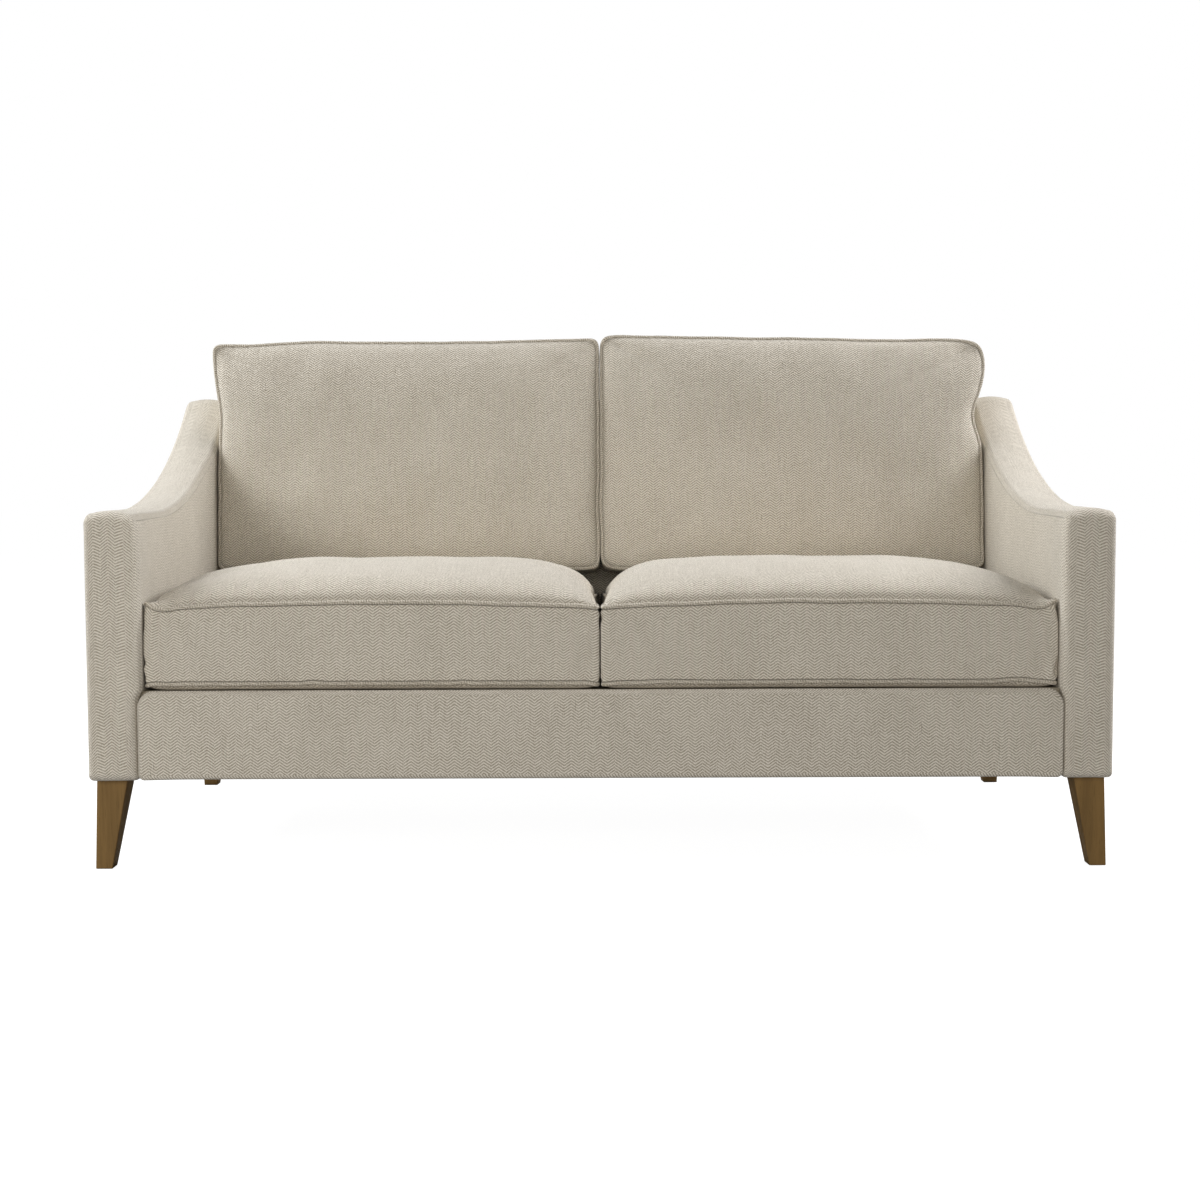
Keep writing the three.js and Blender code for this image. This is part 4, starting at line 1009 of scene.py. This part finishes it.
def seat_form(side, look):
    deck_rear, back_foot = back_corner()
    front_y = FRONT + SEAT_SETBACK
    depth = (deck_rear - SEAT_REAR_CLEARANCE - front_y) / math.cos(DECK_PITCH)
    middle = depth / 2
    origin_y = front_y + middle * math.cos(DECK_PITCH) + CLEARANCE * math.sin(DECK_PITCH)
    origin_z = deck_top_at(front_y) - middle * math.sin(DECK_PITCH) + CLEARANCE
    tilt = math.cos(DECK_PITCH) + math.sin(DECK_PITCH) * math.tan(BACK_RAKE)

    def press(u, along):
        """How high the top may stand under the back cushion."""
        y = origin_y + along * math.cos(DECK_PITCH)
        level = back_foot - (y - inside_face_at(back_foot)) * math.tan(BACK_RAKE) + along * math.sin(DECK_PITCH)
        return (level - 2 * CLEARANCE - BACK_SAG * (1 - u * u) - origin_z) / tilt

    return cushion_form(
        "seat_cushion", side, 100, length=depth - 2 * PIPING_REACH, boxing=SEAT_BOXING, corners=(150, 110, 60),
        crown=look.seat_crown, bow=look.seat_bow, inner_bow=4 * MM,
        draw_in={"inner": 9 * MM, "outer": 4 * MM, "foot": 7 * MM, "top": 7 * MM},
        grow={"inner": 1.1 * MM, "outer": -SEAT_NARROW[side]}, ear={"inner": -1 * MM, "outer": 8 * MM},
        # The panel's crease value is the strength of the painted shade along its piping
        foot=11 * MM, lower_ear=-2.5 * MM, roll=1.2 * MM, panel_crease=0.25,
        powers={"inner": 6.0, "outer": 3.2, "front": 2.4, "rear": 3.0}, peak=-0.3,
        press=press, press_from=0.6, zip_end=1, matrix=laid(side, origin_y, origin_z, -DECK_PITCH),
    )


def back_form(side, look):
    settled = BACK_SETTLED[side]
    foot, height = back_corner()[1], BACK_CUSHION_HEIGHTS[side]
    y = inside_face_at(foot) + height / 2 * math.sin(BACK_RAKE) - CLEARANCE
    z = foot + height / 2 * math.cos(BACK_RAKE)
    return cushion_form(
        "back_cushion", side, 200, length=height - 2 * PIPING_REACH, boxing=BACK_CUSHION_BOXING,
        crown=look.back_crown, bow=look.back_bow, inner_bow=look.back_bow,
        draw_in={"inner": 0.0, "outer": settled["outer"], "foot": -BACK_SAG, "top": settled["top"]},
        grow={"inner": 1.35 * MM, "outer": settled["outer_grow"]}, meander=MEANDER,
        ear={"inner": 3 * MM, "outer": 3 * MM}, foot=look.piping / 2, lower_ear=0.0, roll=-1.5 * MM,
        # The panel's crease value is the strength of the painted shade along its piping
        panel_crease=0.5, powers={"inner": 3.6, "outer": 2.2, "front": 2.4, "rear": 3.0}, peak=0.0,
        zip_end=-1, matrix=laid(side, y, z, math.pi / 2 - BACK_RAKE),
        **{key: settled[key] for key in ("corners", "flare", "dent", "shoulder", "shoulder_from")},
    )


def outline_at(form, u, v, out):
    """Across and along of a point of a cushion's plan, from shares of half its sides."""
    inner, (inner_corner, low_corner, top_corner) = form["inner"], form["corners"]
    outer_corner = low_corner + (top_corner - low_corner) * smooth(v, -0.4, 0.4)
    power = np.where(u * inner > 0, inner_corner, outer_corner)
    norm = (np.abs(u) ** power + np.abs(v) ** power) ** (1 / power)
    largest = np.maximum(np.abs(u), np.abs(v))
    round_off = np.where(norm > 0, largest / np.maximum(norm, 1e-12), 0)
    s, t = u * round_off, v * round_off
    half_width, half_length, seed = form["width"] / 2, form["length"] / 2, form["seed"]
    inward, outer = np.maximum(s * inner, 0), np.maximum(-s * inner, 0)
    upper = smooth(t, FLARE_FROM, 1)
    sideways = form["flare"] * outer * upper
    sideways = sideways - form["dent"] * outer**3 * hump(t, DENT_PLACE, DENT_REACH)
    fall = form["shoulder"] * smooth(outer, *form["shoulder_from"]) * upper
    draw_in, grow = form["draw_in"], form["grow"]
    draw = np.where(s * inner > 0, draw_in["inner"], draw_in["outer"])
    out_across = out + np.where(s * inner > 0, grow["inner"], grow["outer"])
    # Sewn edges never run quite straight, but where the cushions meet they keep together
    waver_a = SEAM_WAVER * (0.5 + 0.5 * ripple(t * half_length, s * 0.3, 0.1, seed + 5))
    waver_a = waver_a * (1 - t**8) * (1 - inward**2)
    waver_b = SEAM_WAVER * (0.5 + 0.5 * ripple(s * half_width, t * 0.3, 0.13, seed + 6)) * (1 - s**8)
    meander = form["meander"] * inward**4 * (1 - t**4) * ripple((1 + t) * half_length, 0.0, 0.17, 300)
    across = s * (half_width + out_across - draw * (1 - t * t) - waver_a) - sideways * inner + meander
    ends = np.where(t < 0, draw_in["foot"], draw_in["top"])
    along = t * (half_length + out - ends * (1 - s * s) - waver_b) - fall
    return across, along


def to_corner(form, u, v):
    """How far a point lies from the nearest corner, in which direction, and which of the four it is."""
    a = (1 - np.abs(u)) * form["width"] / 2
    b = (1 - np.abs(v)) * form["length"] / 2
    return np.hypot(a, b), np.arctan2(b, a), (u > 0).astype(int) + 2 * (v > 0).astype(int)


def to_edge(form, u, v):
    """How far a point of a panel lies from its edges, with no crease where two of them are equally far."""
    a = (1 - np.abs(u)) * form["width"] / 2
    b = (1 - np.abs(v)) * form["length"] / 2
    return a * b / np.maximum(np.hypot(a, b), 1e-9)


def seam_height(form, u, v, even=False):
    """Height of the middle of the upper piping: bowed along the sides, with its corners drawn up to a point."""
    inward = np.maximum(u * form["inner"], 0)
    bow = form["bow"] * (1 - u * u * v * v) - (form["bow"] - form["inner_bow"]) * inward**6 * (1 - v * v)
    if even:
        return form["boxing"] + bow
    away, _, _ = to_corner(form, u, v)
    across, along = outline_at(form, u, v, 0)
    waver = 0.7 * MM * ripple(across, along, 0.13, form["seed"] + 3) * (1 - np.exp(-away / (40 * MM)))
    tip = hump(away, 0, 13 * MM) - 0.45 * hump(away, 36 * MM, 20 * MM)
    ear = np.where(u * form["inner"] > 0, form["ear"]["inner"], form["ear"]["outer"])
    return form["boxing"] + bow + ear * tip + waver


def foot_height(form, u, v):
    """Height of the middle of the lower piping, with its kinks."""
    away, _, _ = to_corner(form, u, v)
    across, along = outline_at(form, u, v, 0)
    kink = np.maximum(ripple(across, along, 0.075, form["seed"] + 4), 0) * 1.5 * MM
    return form["foot"] + kink + form["lower_ear"] * hump(away, 0, 17 * MM)


def swell(form, u, v):
    peak, p = form["peak"], form["powers"]
    w = np.where(v < peak, (v - peak) / (1 + peak), (v - peak) / (1 - peak))
    across = np.sqrt(np.maximum(1 - np.abs(u) ** np.where(u * form["inner"] > 0, p["inner"], p["outer"]), 0))
    along = np.sqrt(np.maximum(1 - np.abs(w) ** np.where(v < peak, p["front"], p["rear"]), 0))
    return form["crown"] * across * along


def pressed_down(form, u, v, along, height):
    """Keeps the top under the cushion that stands on it."""
    if not form["press"]:
        return height
    low = soft_least(height, form["press"](u, along), 6 * MM)
    return np.where(v > form["press_from"] - 0.1, low, height)


def pinches(form, u, v, depth):
    """Folds that fan out from the corners, where the seams gather the cloth."""
    away, turn, corner = to_corner(form, u, v)
    draw = np.random.default_rng(form["seed"] + 9)
    start, pace = draw.uniform(0, math.tau, 4)[corner], draw.uniform(8, 13, 4)[corner]
    strength, reach = draw.uniform(0.7, 1.3, 4)[corner], draw.uniform(26, 44, 4)[corner] * MM
    fan = np.cos(turn * pace + start + away / (24 * MM)) * np.sin(2 * turn) ** 0.5
    return depth * strength * fan * away / (away + 8 * MM) * np.exp(-away / reach)


def closer(steps):
    """Shares from -1 to 1 that lie closer together near both ends."""
    t = np.linspace(-1, 1, steps + 1)
    return np.sign(t) * (1 - (1 - np.abs(t)) ** 1.4)


def once_round(steps):
    """Shares along the four sides of a panel, walked round once and closed."""
    t, one = closer(steps), np.ones(steps)
    u = np.concatenate([t[:-1], one, t[:0:-1], -one, -one[:1]])
    v = np.concatenate([-one, t[:-1], one, t[:0:-1], -one[:1]])
    return u, v


def ring_of(grid):
    """The edge of a panel's grid, walked as `once_round` walks it."""
    return np.concatenate([grid[0, :-1], grid[:-1, -1], grid[-1, :0:-1], grid[:0:-1, 0], grid[0, :1]])


def boxing_out(form, look, u, v, gap, share, z):
    """How far the boxing stands out from the outline, `gap` metres from the nearer seam."""
    away, _, _ = to_corner(form, u, v)
    x, y = outline_at(form, u, v, 0)
    seed, middle = form["seed"], np.sin(math.pi * np.clip(share, 0, 1))
    # Only just under a piping does the boxing draw in, which shows as the sewn line
    out = -SEAM_TUCK + (BOXING_STEP + SEAM_TUCK) * float(smooth(gap, 3.1 * MM, 5.0 * MM))
    out = out + BOXING_BULGE * middle**0.7
    if form["press"]:
        out = out + np.where(u * form["inner"] > 0, 2.0, 1.2) * MM * middle**0.4 * smooth(np.abs(u), 0.97, 1)
    fade = math.exp(-gap / (13 * MM)) * (1 - math.exp(-gap / (5 * MM)))
    out = out + 0.8 * look.pucker * fade * ripple(x + y, z, 0.03, seed + 10)
    out = out + 0.6 * MM * middle * ripple(x + y, z, 0.11, seed + 2)
    ruffle = ripple(x + y, z, 0.03, seed + 11) * np.exp(-away / (26 * MM)) * float(smooth(gap, 3 * MM, 12 * MM))
    limit = np.where(u * form["inner"] > 0, PIPING_REACH + 0.1 * MM, PIPING_REACH + 0.7 * MM)
    return np.minimum(out + 2.2 * MM * ruffle, limit)


def cushion_panels(form, look):
    """The patches of a cushion's cover: top panel, boxing and underside, which meet inside the pipings."""
    u, v = np.meshgrid(closer(look.steps), closer(look.steps))
    seed, edge = form["seed"], to_edge(form, u, v)
    # The top panel leaves its piping upwards and rolls over it, or back from it
    over = -SEAM_TUCK + form["roll"] * (1 - np.exp(-edge / (1.2 * MM)))
    across, along = outline_at(form, u, v, over)
    level = seam_height(form, u, v) + swell(form, u, v) + 1 * MM
    even = np.stack([across, along, pressed_down(form, u, v, along, level)], 2)
    near = np.exp(-edge / (17 * MM)) * (1 - np.exp(-edge / (4 * MM)))
    gather = ripple(across, along, 0.034, seed) + 0.5 * ripple(across, along, 0.015, seed + 8)
    height = level + look.pucker * gather * near + pinches(form, u, v, look.pinch)
    height = height + 1.3 * MM * ripple(across, along, 0.2, seed + 1) * smooth(edge, 0, 60 * MM)
    # Fine crinkles lie along the front piping
    to_front = (1 + v) * form["length"] / 2
    crinkle = ripple(across * 0.3, to_front * 1.6, 0.011, seed + 12) * hump(to_front, 11 * MM, 9 * MM)
    height = height + 0.5 * look.pucker * crinkle * smooth(edge, 2 * MM, 6 * MM)
    top = np.stack([across, along, pressed_down(form, u, v, along, height)], 2)
    ring_u, ring_v = once_round(look.steps)
    upper = seam_height(form, ring_u, ring_v)
    lower = foot_height(form, ring_u, ring_v)
    outline = np.stack(outline_at(form, ring_u, ring_v, 0), 1)
    walked = np.concatenate([[0], np.cumsum(np.linalg.norm(np.diff(outline, axis=0), axis=1))])
    rows = [np.stack([*outline_at(form, ring_u, ring_v, -SEAM_TUCK), lower], 1)]
    shares, crease_shades = [np.zeros(len(ring_u))], [0.0]
    for down, gap in [*((0, d * MM) for d in SEAM_ROWS), *((1, d * MM) for d in SEAM_ROWS[::-1])]:
        z = upper - gap if down else lower + gap
        share = (z - lower) / (upper - lower)
        out = boxing_out(form, look, ring_u, ring_v, gap, share, z)
        rows.append(np.stack([*outline_at(form, ring_u, ring_v, out), z], 1))
        shares.append(share)
        # How deep each row lies in the painted shade of the sewn line beside the piping
        crease_shades.append(hump(gap, SHADE_LINE_GAP, 1.1 * MM))
    rows.append(ring_of(top))
    shares.append(np.ones(len(ring_u)))
    crease_shades.append(0.0)
    shape = (len(rows), len(walked))
    boxing_cloth = np.stack([
        np.broadcast_to(walked, shape), np.stack(shares) * form["boxing"],
        np.broadcast_to(np.array(crease_shades)[:, None], shape),
    ], 2)
    # Painted shade darkens the top panel's edge where it meets the piping
    top_cloth = np.dstack([lengths(even), form["panel_crease"] * hump(edge, 0, 2.2 * MM)])
    x, y = outline_at(form, u, v, -SEAM_TUCK)
    under = np.stack([x, y, foot_height(form, u, v) * np.exp(-edge / (0.5 * form["foot"]))], 2)
    return [(top, top_cloth), (np.stack(rows), boxing_cloth), (under, under[..., :2])]


def cushion_cords(form, look):
    """Upper and lower piping of a cushion, as (name, patch)."""
    ring_u, ring_v = (shares[:-1] for shares in once_round(look.steps))
    radius = look.piping / 2
    reach = PIPING_REACH - radius
    x, y = outline_at(form, ring_u, ring_v, reach)
    wide = np.stack(outline_at(form, ring_u, ring_v, reach + 10 * MM), 1) - np.stack([x, y], 1)
    outward = np.concatenate([unit(wide), np.zeros((len(x), 1))], 1)
    cords = []
    for name, height in (
        ("upper", seam_height(form, ring_u, ring_v)), ("lower", foot_height(form, ring_u, ring_v)),
    ):
        path = np.stack([x, y, height], 1)
        thick = radius * (0.97 + 0.03 * np.clip(ripple(x, y, 0.045, form["seed"] + 7), -1, 1))
        cords.append((name, cord_round(path, outward, thick)))
    return cords


def cushion_core(form):
    """The foam inside a cover, which follows its even form."""
    u, v = np.meshgrid(closer(36), closer(36))
    across, along = outline_at(form, u, v, -FOAM_INSET)
    height = pressed_down(form, u, v, along, seam_height(form, u, v, even=True) + swell(form, u, v) * 0.97)
    top = np.stack([across, along, height - FOAM_INSET], 2)
    under = np.stack([across, along, np.full_like(u, FOAM_INSET)], 2)
    wall = np.stack([ring_of(under) + (ring_of(top) - ring_of(under)) * share for share in np.linspace(0, 1, 9)])
    return [(patch, patch[..., :2]) for patch in (top, wall, under)]


def zip_parts(form, look):
    """Tapes, teeth and slider of the zip that closes the hidden side of a cover."""
    end, half = form["zip_end"], form["width"] * ZIP_SHARE / 2
    middle = form["boxing"] / 2

    def at(x, z, lift):
        """A point on the boxing, `lift` metres proud of it, and its height."""
        u = x / (form["width"] / 2)
        out = boxing_out(form, look, u, np.full_like(u, end), 52 * MM, z / form["boxing"], z)
        across, along = outline_at(form, u, np.full_like(u, end), out + lift)
        return np.stack([across, along, z], -1)

    x = np.linspace(-half, half, 121)
    half_tape = [(-ZIP_TAPE, -0.6), (-ZIP_TAPE, 0.5), (-7 * MM, 0.9), (-2.2 * MM, 1.1), (-1.7 * MM, -0.2)]
    profile = [*half_tape, *((-z, lift) for z, lift in half_tape[::-1]), half_tape[0]]
    tape = np.stack([at(x, np.full_like(x, middle + z), lift * MM) for z, lift in profile])
    caps = [np.stack([tape[:6, end], tape[10:4:-1, end]]) for end in (0, -1)]
    tapes = [(patch, patch[..., [0, 2]]) for patch in (tape, *caps)]
    teeth = []
    count = int(2 * half / ZIP_PITCH) - 12
    for k in range(count):
        x0 = -half + (k + 3) * ZIP_PITCH
        shift = (1 if k % 2 else -1) * 0.5 * MM
        teeth.append(block_on(at, x0, middle + shift, 2.1 * MM, 3.4 * MM, -0.4 * MM, 1.5 * MM))
    reach = -half + (count + 5) * ZIP_PITCH
    slider = [
        block_on(at, reach, middle, 9 * MM, 6.5 * MM, 0.6 * MM, 3.6 * MM),
        block_on(at, reach - 1 * MM, middle, 3 * MM, 3.2 * MM, 3.6 * MM, 5.0 * MM),
        block_on(at, reach + 10 * MM, middle - 1 * MM, 22 * MM, 5 * MM, 5.0 * MM, 6.4 * MM),
    ]
    return {"tape": tapes, "teeth": teeth, "slider": slider}


def block_on(at, x, z, wide, high, low, top):
    """A small block with eased corners that sits on a surface given by `at`, as one patch."""
    turn = np.arange(9) * math.tau / 8 + math.pi / 8
    bend = np.stack([np.cos(turn), np.sin(turn)], 1)
    corner = np.clip(bend * 1.25, -1, 1) * np.array([wide, high]) / 2
    rings = []
    for level, size in ((low, 0), (low, 1), (top - 0.3 * MM, 1), (top, 0.82), (top, 0)):
        rings.append(at(x + corner[:, 0] * size, z + corner[:, 1] * size, level))
    patch = np.stack(rings)
    return patch, patch[..., [0, 2]]


def set_in_place(patches, matrix):
    turn = np.array(matrix.to_3x3())
    shift = np.array(matrix.translation)
    return [(grid @ turn.T + shift, cloth) for grid, cloth in patches]


def make_cushion(form, look, fill):
    """The cover, its two pipings, its zip and the foam core of one cushion."""
    name, side = form["name"], form["side"]

    def add(part, patches, slot, material, node=None, **padding):
        nodes = [f"{name}_{node}_{side}"] if node else ()
        patches = set_in_place(patches, form["matrix"])
        make(f"{name}_{part}_{side}", patches, f"{name}_{side}", slot, material, nodes, **padding)

    add("fabric", cushion_panels(form, look), "upholstery", "herringbone_cloth", "cover", fill=fill)
    for part, patch in cushion_cords(form, look):
        add(f"piping_{part}", [patch], "upholstery", "piping_cloth")
    add("foam", cushion_core(form), "foam", "cut_foam", "core", fill=fill)
    closing = {"tape": "zip_tape", "teeth": "zip_teeth", "slider": "zip_metal"}
    for part, patches in zip_parts(form, look).items():
        add(f"zip_{part}", patches, "zip", closing[part], "zip" if part == "tape" else None)


class SETTEE_OT_seat_cushions(bpy.types.Operator):
    """Makes the two piped seat cushions"""

    bl_idname = "settee.seat_cushions"
    bl_label = "Make the seat cushions"

    fill: FloatProperty(name="Fill", description="How full they are", default=0.8, min=0, max=1, subtype="FACTOR")

    def execute(self, context):
        look = context.scene.settee_cushions
        for side in SIDES:
            make_cushion(seat_form(side, look), look, self.fill)
        return {"FINISHED"}


class SETTEE_OT_back_cushions(bpy.types.Operator):
    """Makes the two tall piped back cushions"""

    bl_idname = "settee.back_cushions"
    bl_label = "Make the back cushions"

    fill: FloatProperty(name="Fill", description="How full they are", default=0.7, min=0, max=1, subtype="FACTOR")

    def execute(self, context):
        look = context.scene.settee_cushions
        for side in SIDES:
            make_cushion(back_form(side, look), look, self.fill)
        return {"FINISHED"}


class SETTEE_OT_legs(bpy.types.Operator):
    """Makes the four tapered, splayed legs with eased edges"""

    bl_idname = "settee.legs"
    bl_label = "Make the legs"

    top: FloatProperty(name="Top", description="Width of a leg at its top", default=52.5 * MM, unit="LENGTH")
    foot_width: FloatProperty(name="Foot width", description="Across its foot", default=28.5 * MM, unit="LENGTH")
    foot_depth: FloatProperty(
        name="Foot depth", description="Front to back of its foot", default=33 * MM, unit="LENGTH",
    )
    ease: FloatProperty(name="Eased edge", description="Radius of its long edges", default=2.2 * MM, unit="LENGTH")

    CORNER_POINTS = 12
    FRONT_SETBACK = 5 * MM  # of the front feet
    FOOT_EASE = 0.8 * MM

    def ring(self, centre, width, depth, z):
        """One level of a leg: an oblong with eased corners."""
        count = self.CORNER_POINTS
        corner = np.repeat([(1, 1), (-1, 1), (-1, -1), (1, -1)], count, axis=0)
        turn = np.tile(np.linspace(0, math.pi / 2, count), 4) + np.repeat(np.arange(4), count) * math.pi / 2
        half = np.array([width / 2, depth / 2]) - self.ease
        xy = corner * half + self.ease * np.stack([np.cos(turn), np.sin(turn)], 1)
        return np.column_stack([xy + centre, np.full(4 * count, z)])

    def leg(self, row, side):
        low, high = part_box(f"leg_{row}_{side}")
        foot_y = high.y - self.foot_depth / 2
        if row == "front":
            foot_y = low.y + self.FRONT_SETBACK + self.foot_depth / 2
        foot = np.array([max(abs(low.x), abs(high.x)) - self.foot_width / 2, foot_y])
        top = np.array([min(abs(low.x), abs(high.x)), low.y]) + self.top / 2
        rings = []
        for share in np.linspace(0, 1, 15):
            width = self.foot_width + (self.top - self.foot_width) * share
            depth = self.foot_depth + (self.top - self.foot_depth) * share
            rings.append(self.ring(foot + (top - foot) * share, width, depth, high.z * share))
        sole = rings[0].copy()
        sole[:, :2] = foot + (sole[:, :2] - foot) * (1 - 2 * self.FOOT_EASE / self.foot_width)
        rings[0] = rings[0] + np.array([0, 0, self.FOOT_EASE])
        grid = np.stack([sole, *rings])
        grid = np.concatenate([grid, grid[:, :1]], 1)
        ends = ((grid[0], (*foot, 0)), (grid[-1], (*top, high.z)))
        caps = [np.stack([ring, np.broadcast_to(middle, ring.shape)]) for ring, middle in ends]
        patches = [(g * np.array([SIDES[side], 1, 1]), lengths(g)) for g in (grid, *caps)]
        name = f"leg_tapered_{row}_{side}"
        piece = make(name, patches, "frame", "leg_wood", "stained_wood", [f"leg_{row}_{side}"])
        piece.data.set_sharp_from_angle(angle=math.radians(40))

    def execute(self, context):
        for row in ("front", "rear"):
            for side in SIDES:
                self.leg(row, side)
        return {"FINISHED"}


class SETTEE_OT_frame(bpy.types.Operator):
    """Finishes the pieces inside: beech frame, steel springs, foam and webbing"""

    bl_idname = "settee.frame"
    bl_label = "Finish the inside"

    def execute(self, context):
        slots = {r["node"]: r["material_slot"] for r in frame["record"]["subparts"]}
        finishes = {
            "frame_wood": "bare_beech", "steel": "drawn_steel", "foam": "cut_foam", "zip": "zip_tape",
            "webbing": "hessian_webbing", "lining": "black_lining", "leg_wood": "stained_wood",
            "upholstery": "herringbone_cloth",
        }
        for name, node in frame["nodes"].items():
            cover(node, finishes[slots[name]])
        return {"FINISHED"}


def white_light(tree, kind, strength):
    node = tree.nodes.new(kind)
    node.inputs["Color"].default_value = (1, 1, 1, 1)
    node.inputs["Strength"].default_value = strength
    return node


def seen_apart(tree, unseen, seen, output):
    """Shows one shader to the camera and gives all else the light of the other one."""
    path = tree.nodes.new("ShaderNodeLightPath")
    choose = tree.nodes.new("ShaderNodeMixShader")
    sources = (path.outputs["Is Camera Ray"], unseen.outputs[0], seen.outputs[0])
    for socket, source in zip(choose.inputs, sources):
        tree.links.new(source, socket)
    tree.links.new(choose.outputs[0], tree.nodes.new(output).inputs["Surface"])


class SETTEE_OT_stage(bpy.types.Operator):
    """Sets the camera, the lamps and the pale floor"""

    bl_idname = "settee.stage"
    bl_label = "Set the stage"

    # Where each lamp stands, where it points, its size and its tone
    LAMPS = {
        "high_left": ((-3.0, 0.3, 2.5), (0.4, -0.1, 0.5), (1.4, 1.8), (0.950, 0.969, 1.0)),
        "high_right": ((3.0, 0.3, 2.5), (-0.4, -0.1, 0.5), (1.4, 1.8), (0.988, 0.980, 1.0)),
        "front_left": ((-2.4, -3.2, 1.1), (0, 0, 0.5), (1.4, 1.2), (1.0, 0.974, 0.951)),
        "fill": ((0, -3.8, 1.3), (0, 0, 0.5), (2.4, 1.0), (1.0, 0.941, 0.867)),
        "low_fill": ((0, -3.6, 0.5), (0, 0, 0.5), (1.6, 0.6), (1.0, 0.971, 0.934)),
        "rear": ((0, 3.6, 1.3), (0, 0.4, 0.5), (3.0, 1.2), (1.0, 0.985, 0.96)),
    }

    CAMERA_AT = (0, -3.4256, 0.6575)
    CAMERA_PITCH, CAMERA_ROLL = math.radians(3.85), math.atan(0.0036)
    FLOOR_REACH, FLOOR_GREY, FLOOR_GLOW = 30, (0.3, 0.3, 0.3, 1), 0.955

    def camera(self, scene):
        data = bpy.data.cameras.new("camera")
        data.lens = scene.settee_studio.lens
        data.sensor_width = 36
        data.clip_end = 100
        camera = bpy.data.objects.new("camera", data)
        scene.collection.objects.link(camera)
        turn = Matrix.Rotation(math.pi / 2 - self.CAMERA_PITCH, 4, "X") @ Matrix.Rotation(-self.CAMERA_ROLL, 4, "Z")
        camera.matrix_world = Matrix.Translation(self.CAMERA_AT) @ turn
        scene.camera = camera

    def lamp(self, scene, name, at, aim, size, tone):
        data = bpy.data.lights.new(name, "AREA")
        data.shape = "RECTANGLE"
        data.size, data.size_y = size
        data.energy = getattr(scene.settee_studio, name)
        data.color = tone
        lamp = bpy.data.objects.new(name, data)
        lamp.location = at
        lamp.rotation_euler = (Vector(aim) - Vector(at)).to_track_quat("-Z", "Y").to_euler()
        scene.collection.objects.link(lamp)

    def floor(self, scene):
        mesh = bpy.data.meshes.new("floor")
        corners = [(x * self.FLOOR_REACH, y * self.FLOOR_REACH, 0) for x, y in ((-1, -1), (1, -1), (1, 1), (-1, 1))]
        mesh.from_pydata(corners, [], [(0, 1, 2, 3)])
        floor = bpy.data.objects.new("floor", mesh)
        scene.collection.objects.link(floor)
        material = bpy.data.materials.new("pale_floor")
        tree = emptied(material)
        diffuse = tree.nodes.new("ShaderNodeBsdfDiffuse")
        diffuse.inputs["Color"].default_value = self.FLOOR_GREY
        both = tree.nodes.new("ShaderNodeAddShader")
        tree.links.new(diffuse.outputs[0], both.inputs[0])
        tree.links.new(white_light(tree, "ShaderNodeEmission", self.FLOOR_GLOW).outputs[0], both.inputs[1])
        seen_apart(tree, diffuse, both, "ShaderNodeOutputMaterial")
        mesh.materials.append(material)

    def surroundings(self, scene):
        scene.world = bpy.data.worlds.new("studio")
        tree = emptied(scene.world)
        even = white_light(tree, "ShaderNodeBackground", scene.settee_studio.sky)
        white = white_light(tree, "ShaderNodeBackground", 1.0)
        seen_apart(tree, even, white, "ShaderNodeOutputWorld")

    def execute(self, context):
        scene = context.scene
        self.camera(scene)
        for name, placing in self.LAMPS.items():
            self.lamp(scene, name, *placing)
        self.floor(scene)
        self.surroundings(scene)
        scene.view_settings.view_transform = "Standard"
        return {"FINISHED"}


class SETTEE_PT_panel(bpy.types.Panel):
    """Lists the settee's pieces"""

    bl_idname = "SETTEE_PT_panel"
    bl_label = "Settee"
    bl_space_type = "VIEW_3D"
    bl_region_type = "UI"
    bl_category = "Settee"

    def draw(self, context):
        for operator in OPERATORS:
            self.layout.operator(operator.bl_idname)
        for group in GROUPS:
            settings = getattr(context.scene, group)
            for name in settings.bl_rna.properties.keys():
                if name not in ("name", "rna_type"):
                    self.layout.prop(settings, name)


GROUPS = {
    "settee_cloth": SetteeCloth,
    "settee_cushions": SetteeCushions,
    "settee_finishes": SetteeFinishes,
    "settee_studio": SetteeStudio,
}
OPERATORS = (
    SETTEE_OT_frame, SETTEE_OT_arms, SETTEE_OT_border, SETTEE_OT_back, SETTEE_OT_deck,
    SETTEE_OT_seat_cushions, SETTEE_OT_back_cushions, SETTEE_OT_legs, SETTEE_OT_stage,
)
CLASSES = (*GROUPS.values(), *OPERATORS, SETTEE_PT_panel)


def register():
    for cls in CLASSES:
        bpy.utils.register_class(cls)
    for name, group in GROUPS.items():
        setattr(bpy.types.Scene, name, PointerProperty(type=group))


def unregister():
    for name in GROUPS:
        delattr(bpy.types.Scene, name)
    for cls in reversed(CLASSES):
        bpy.utils.unregister_class(cls)


def main():
    register()
    for operator in OPERATORS:
        group, name = operator.bl_idname.split(".")
        getattr(getattr(bpy.ops, group), name)()


if __name__ == "__main__":
    main()
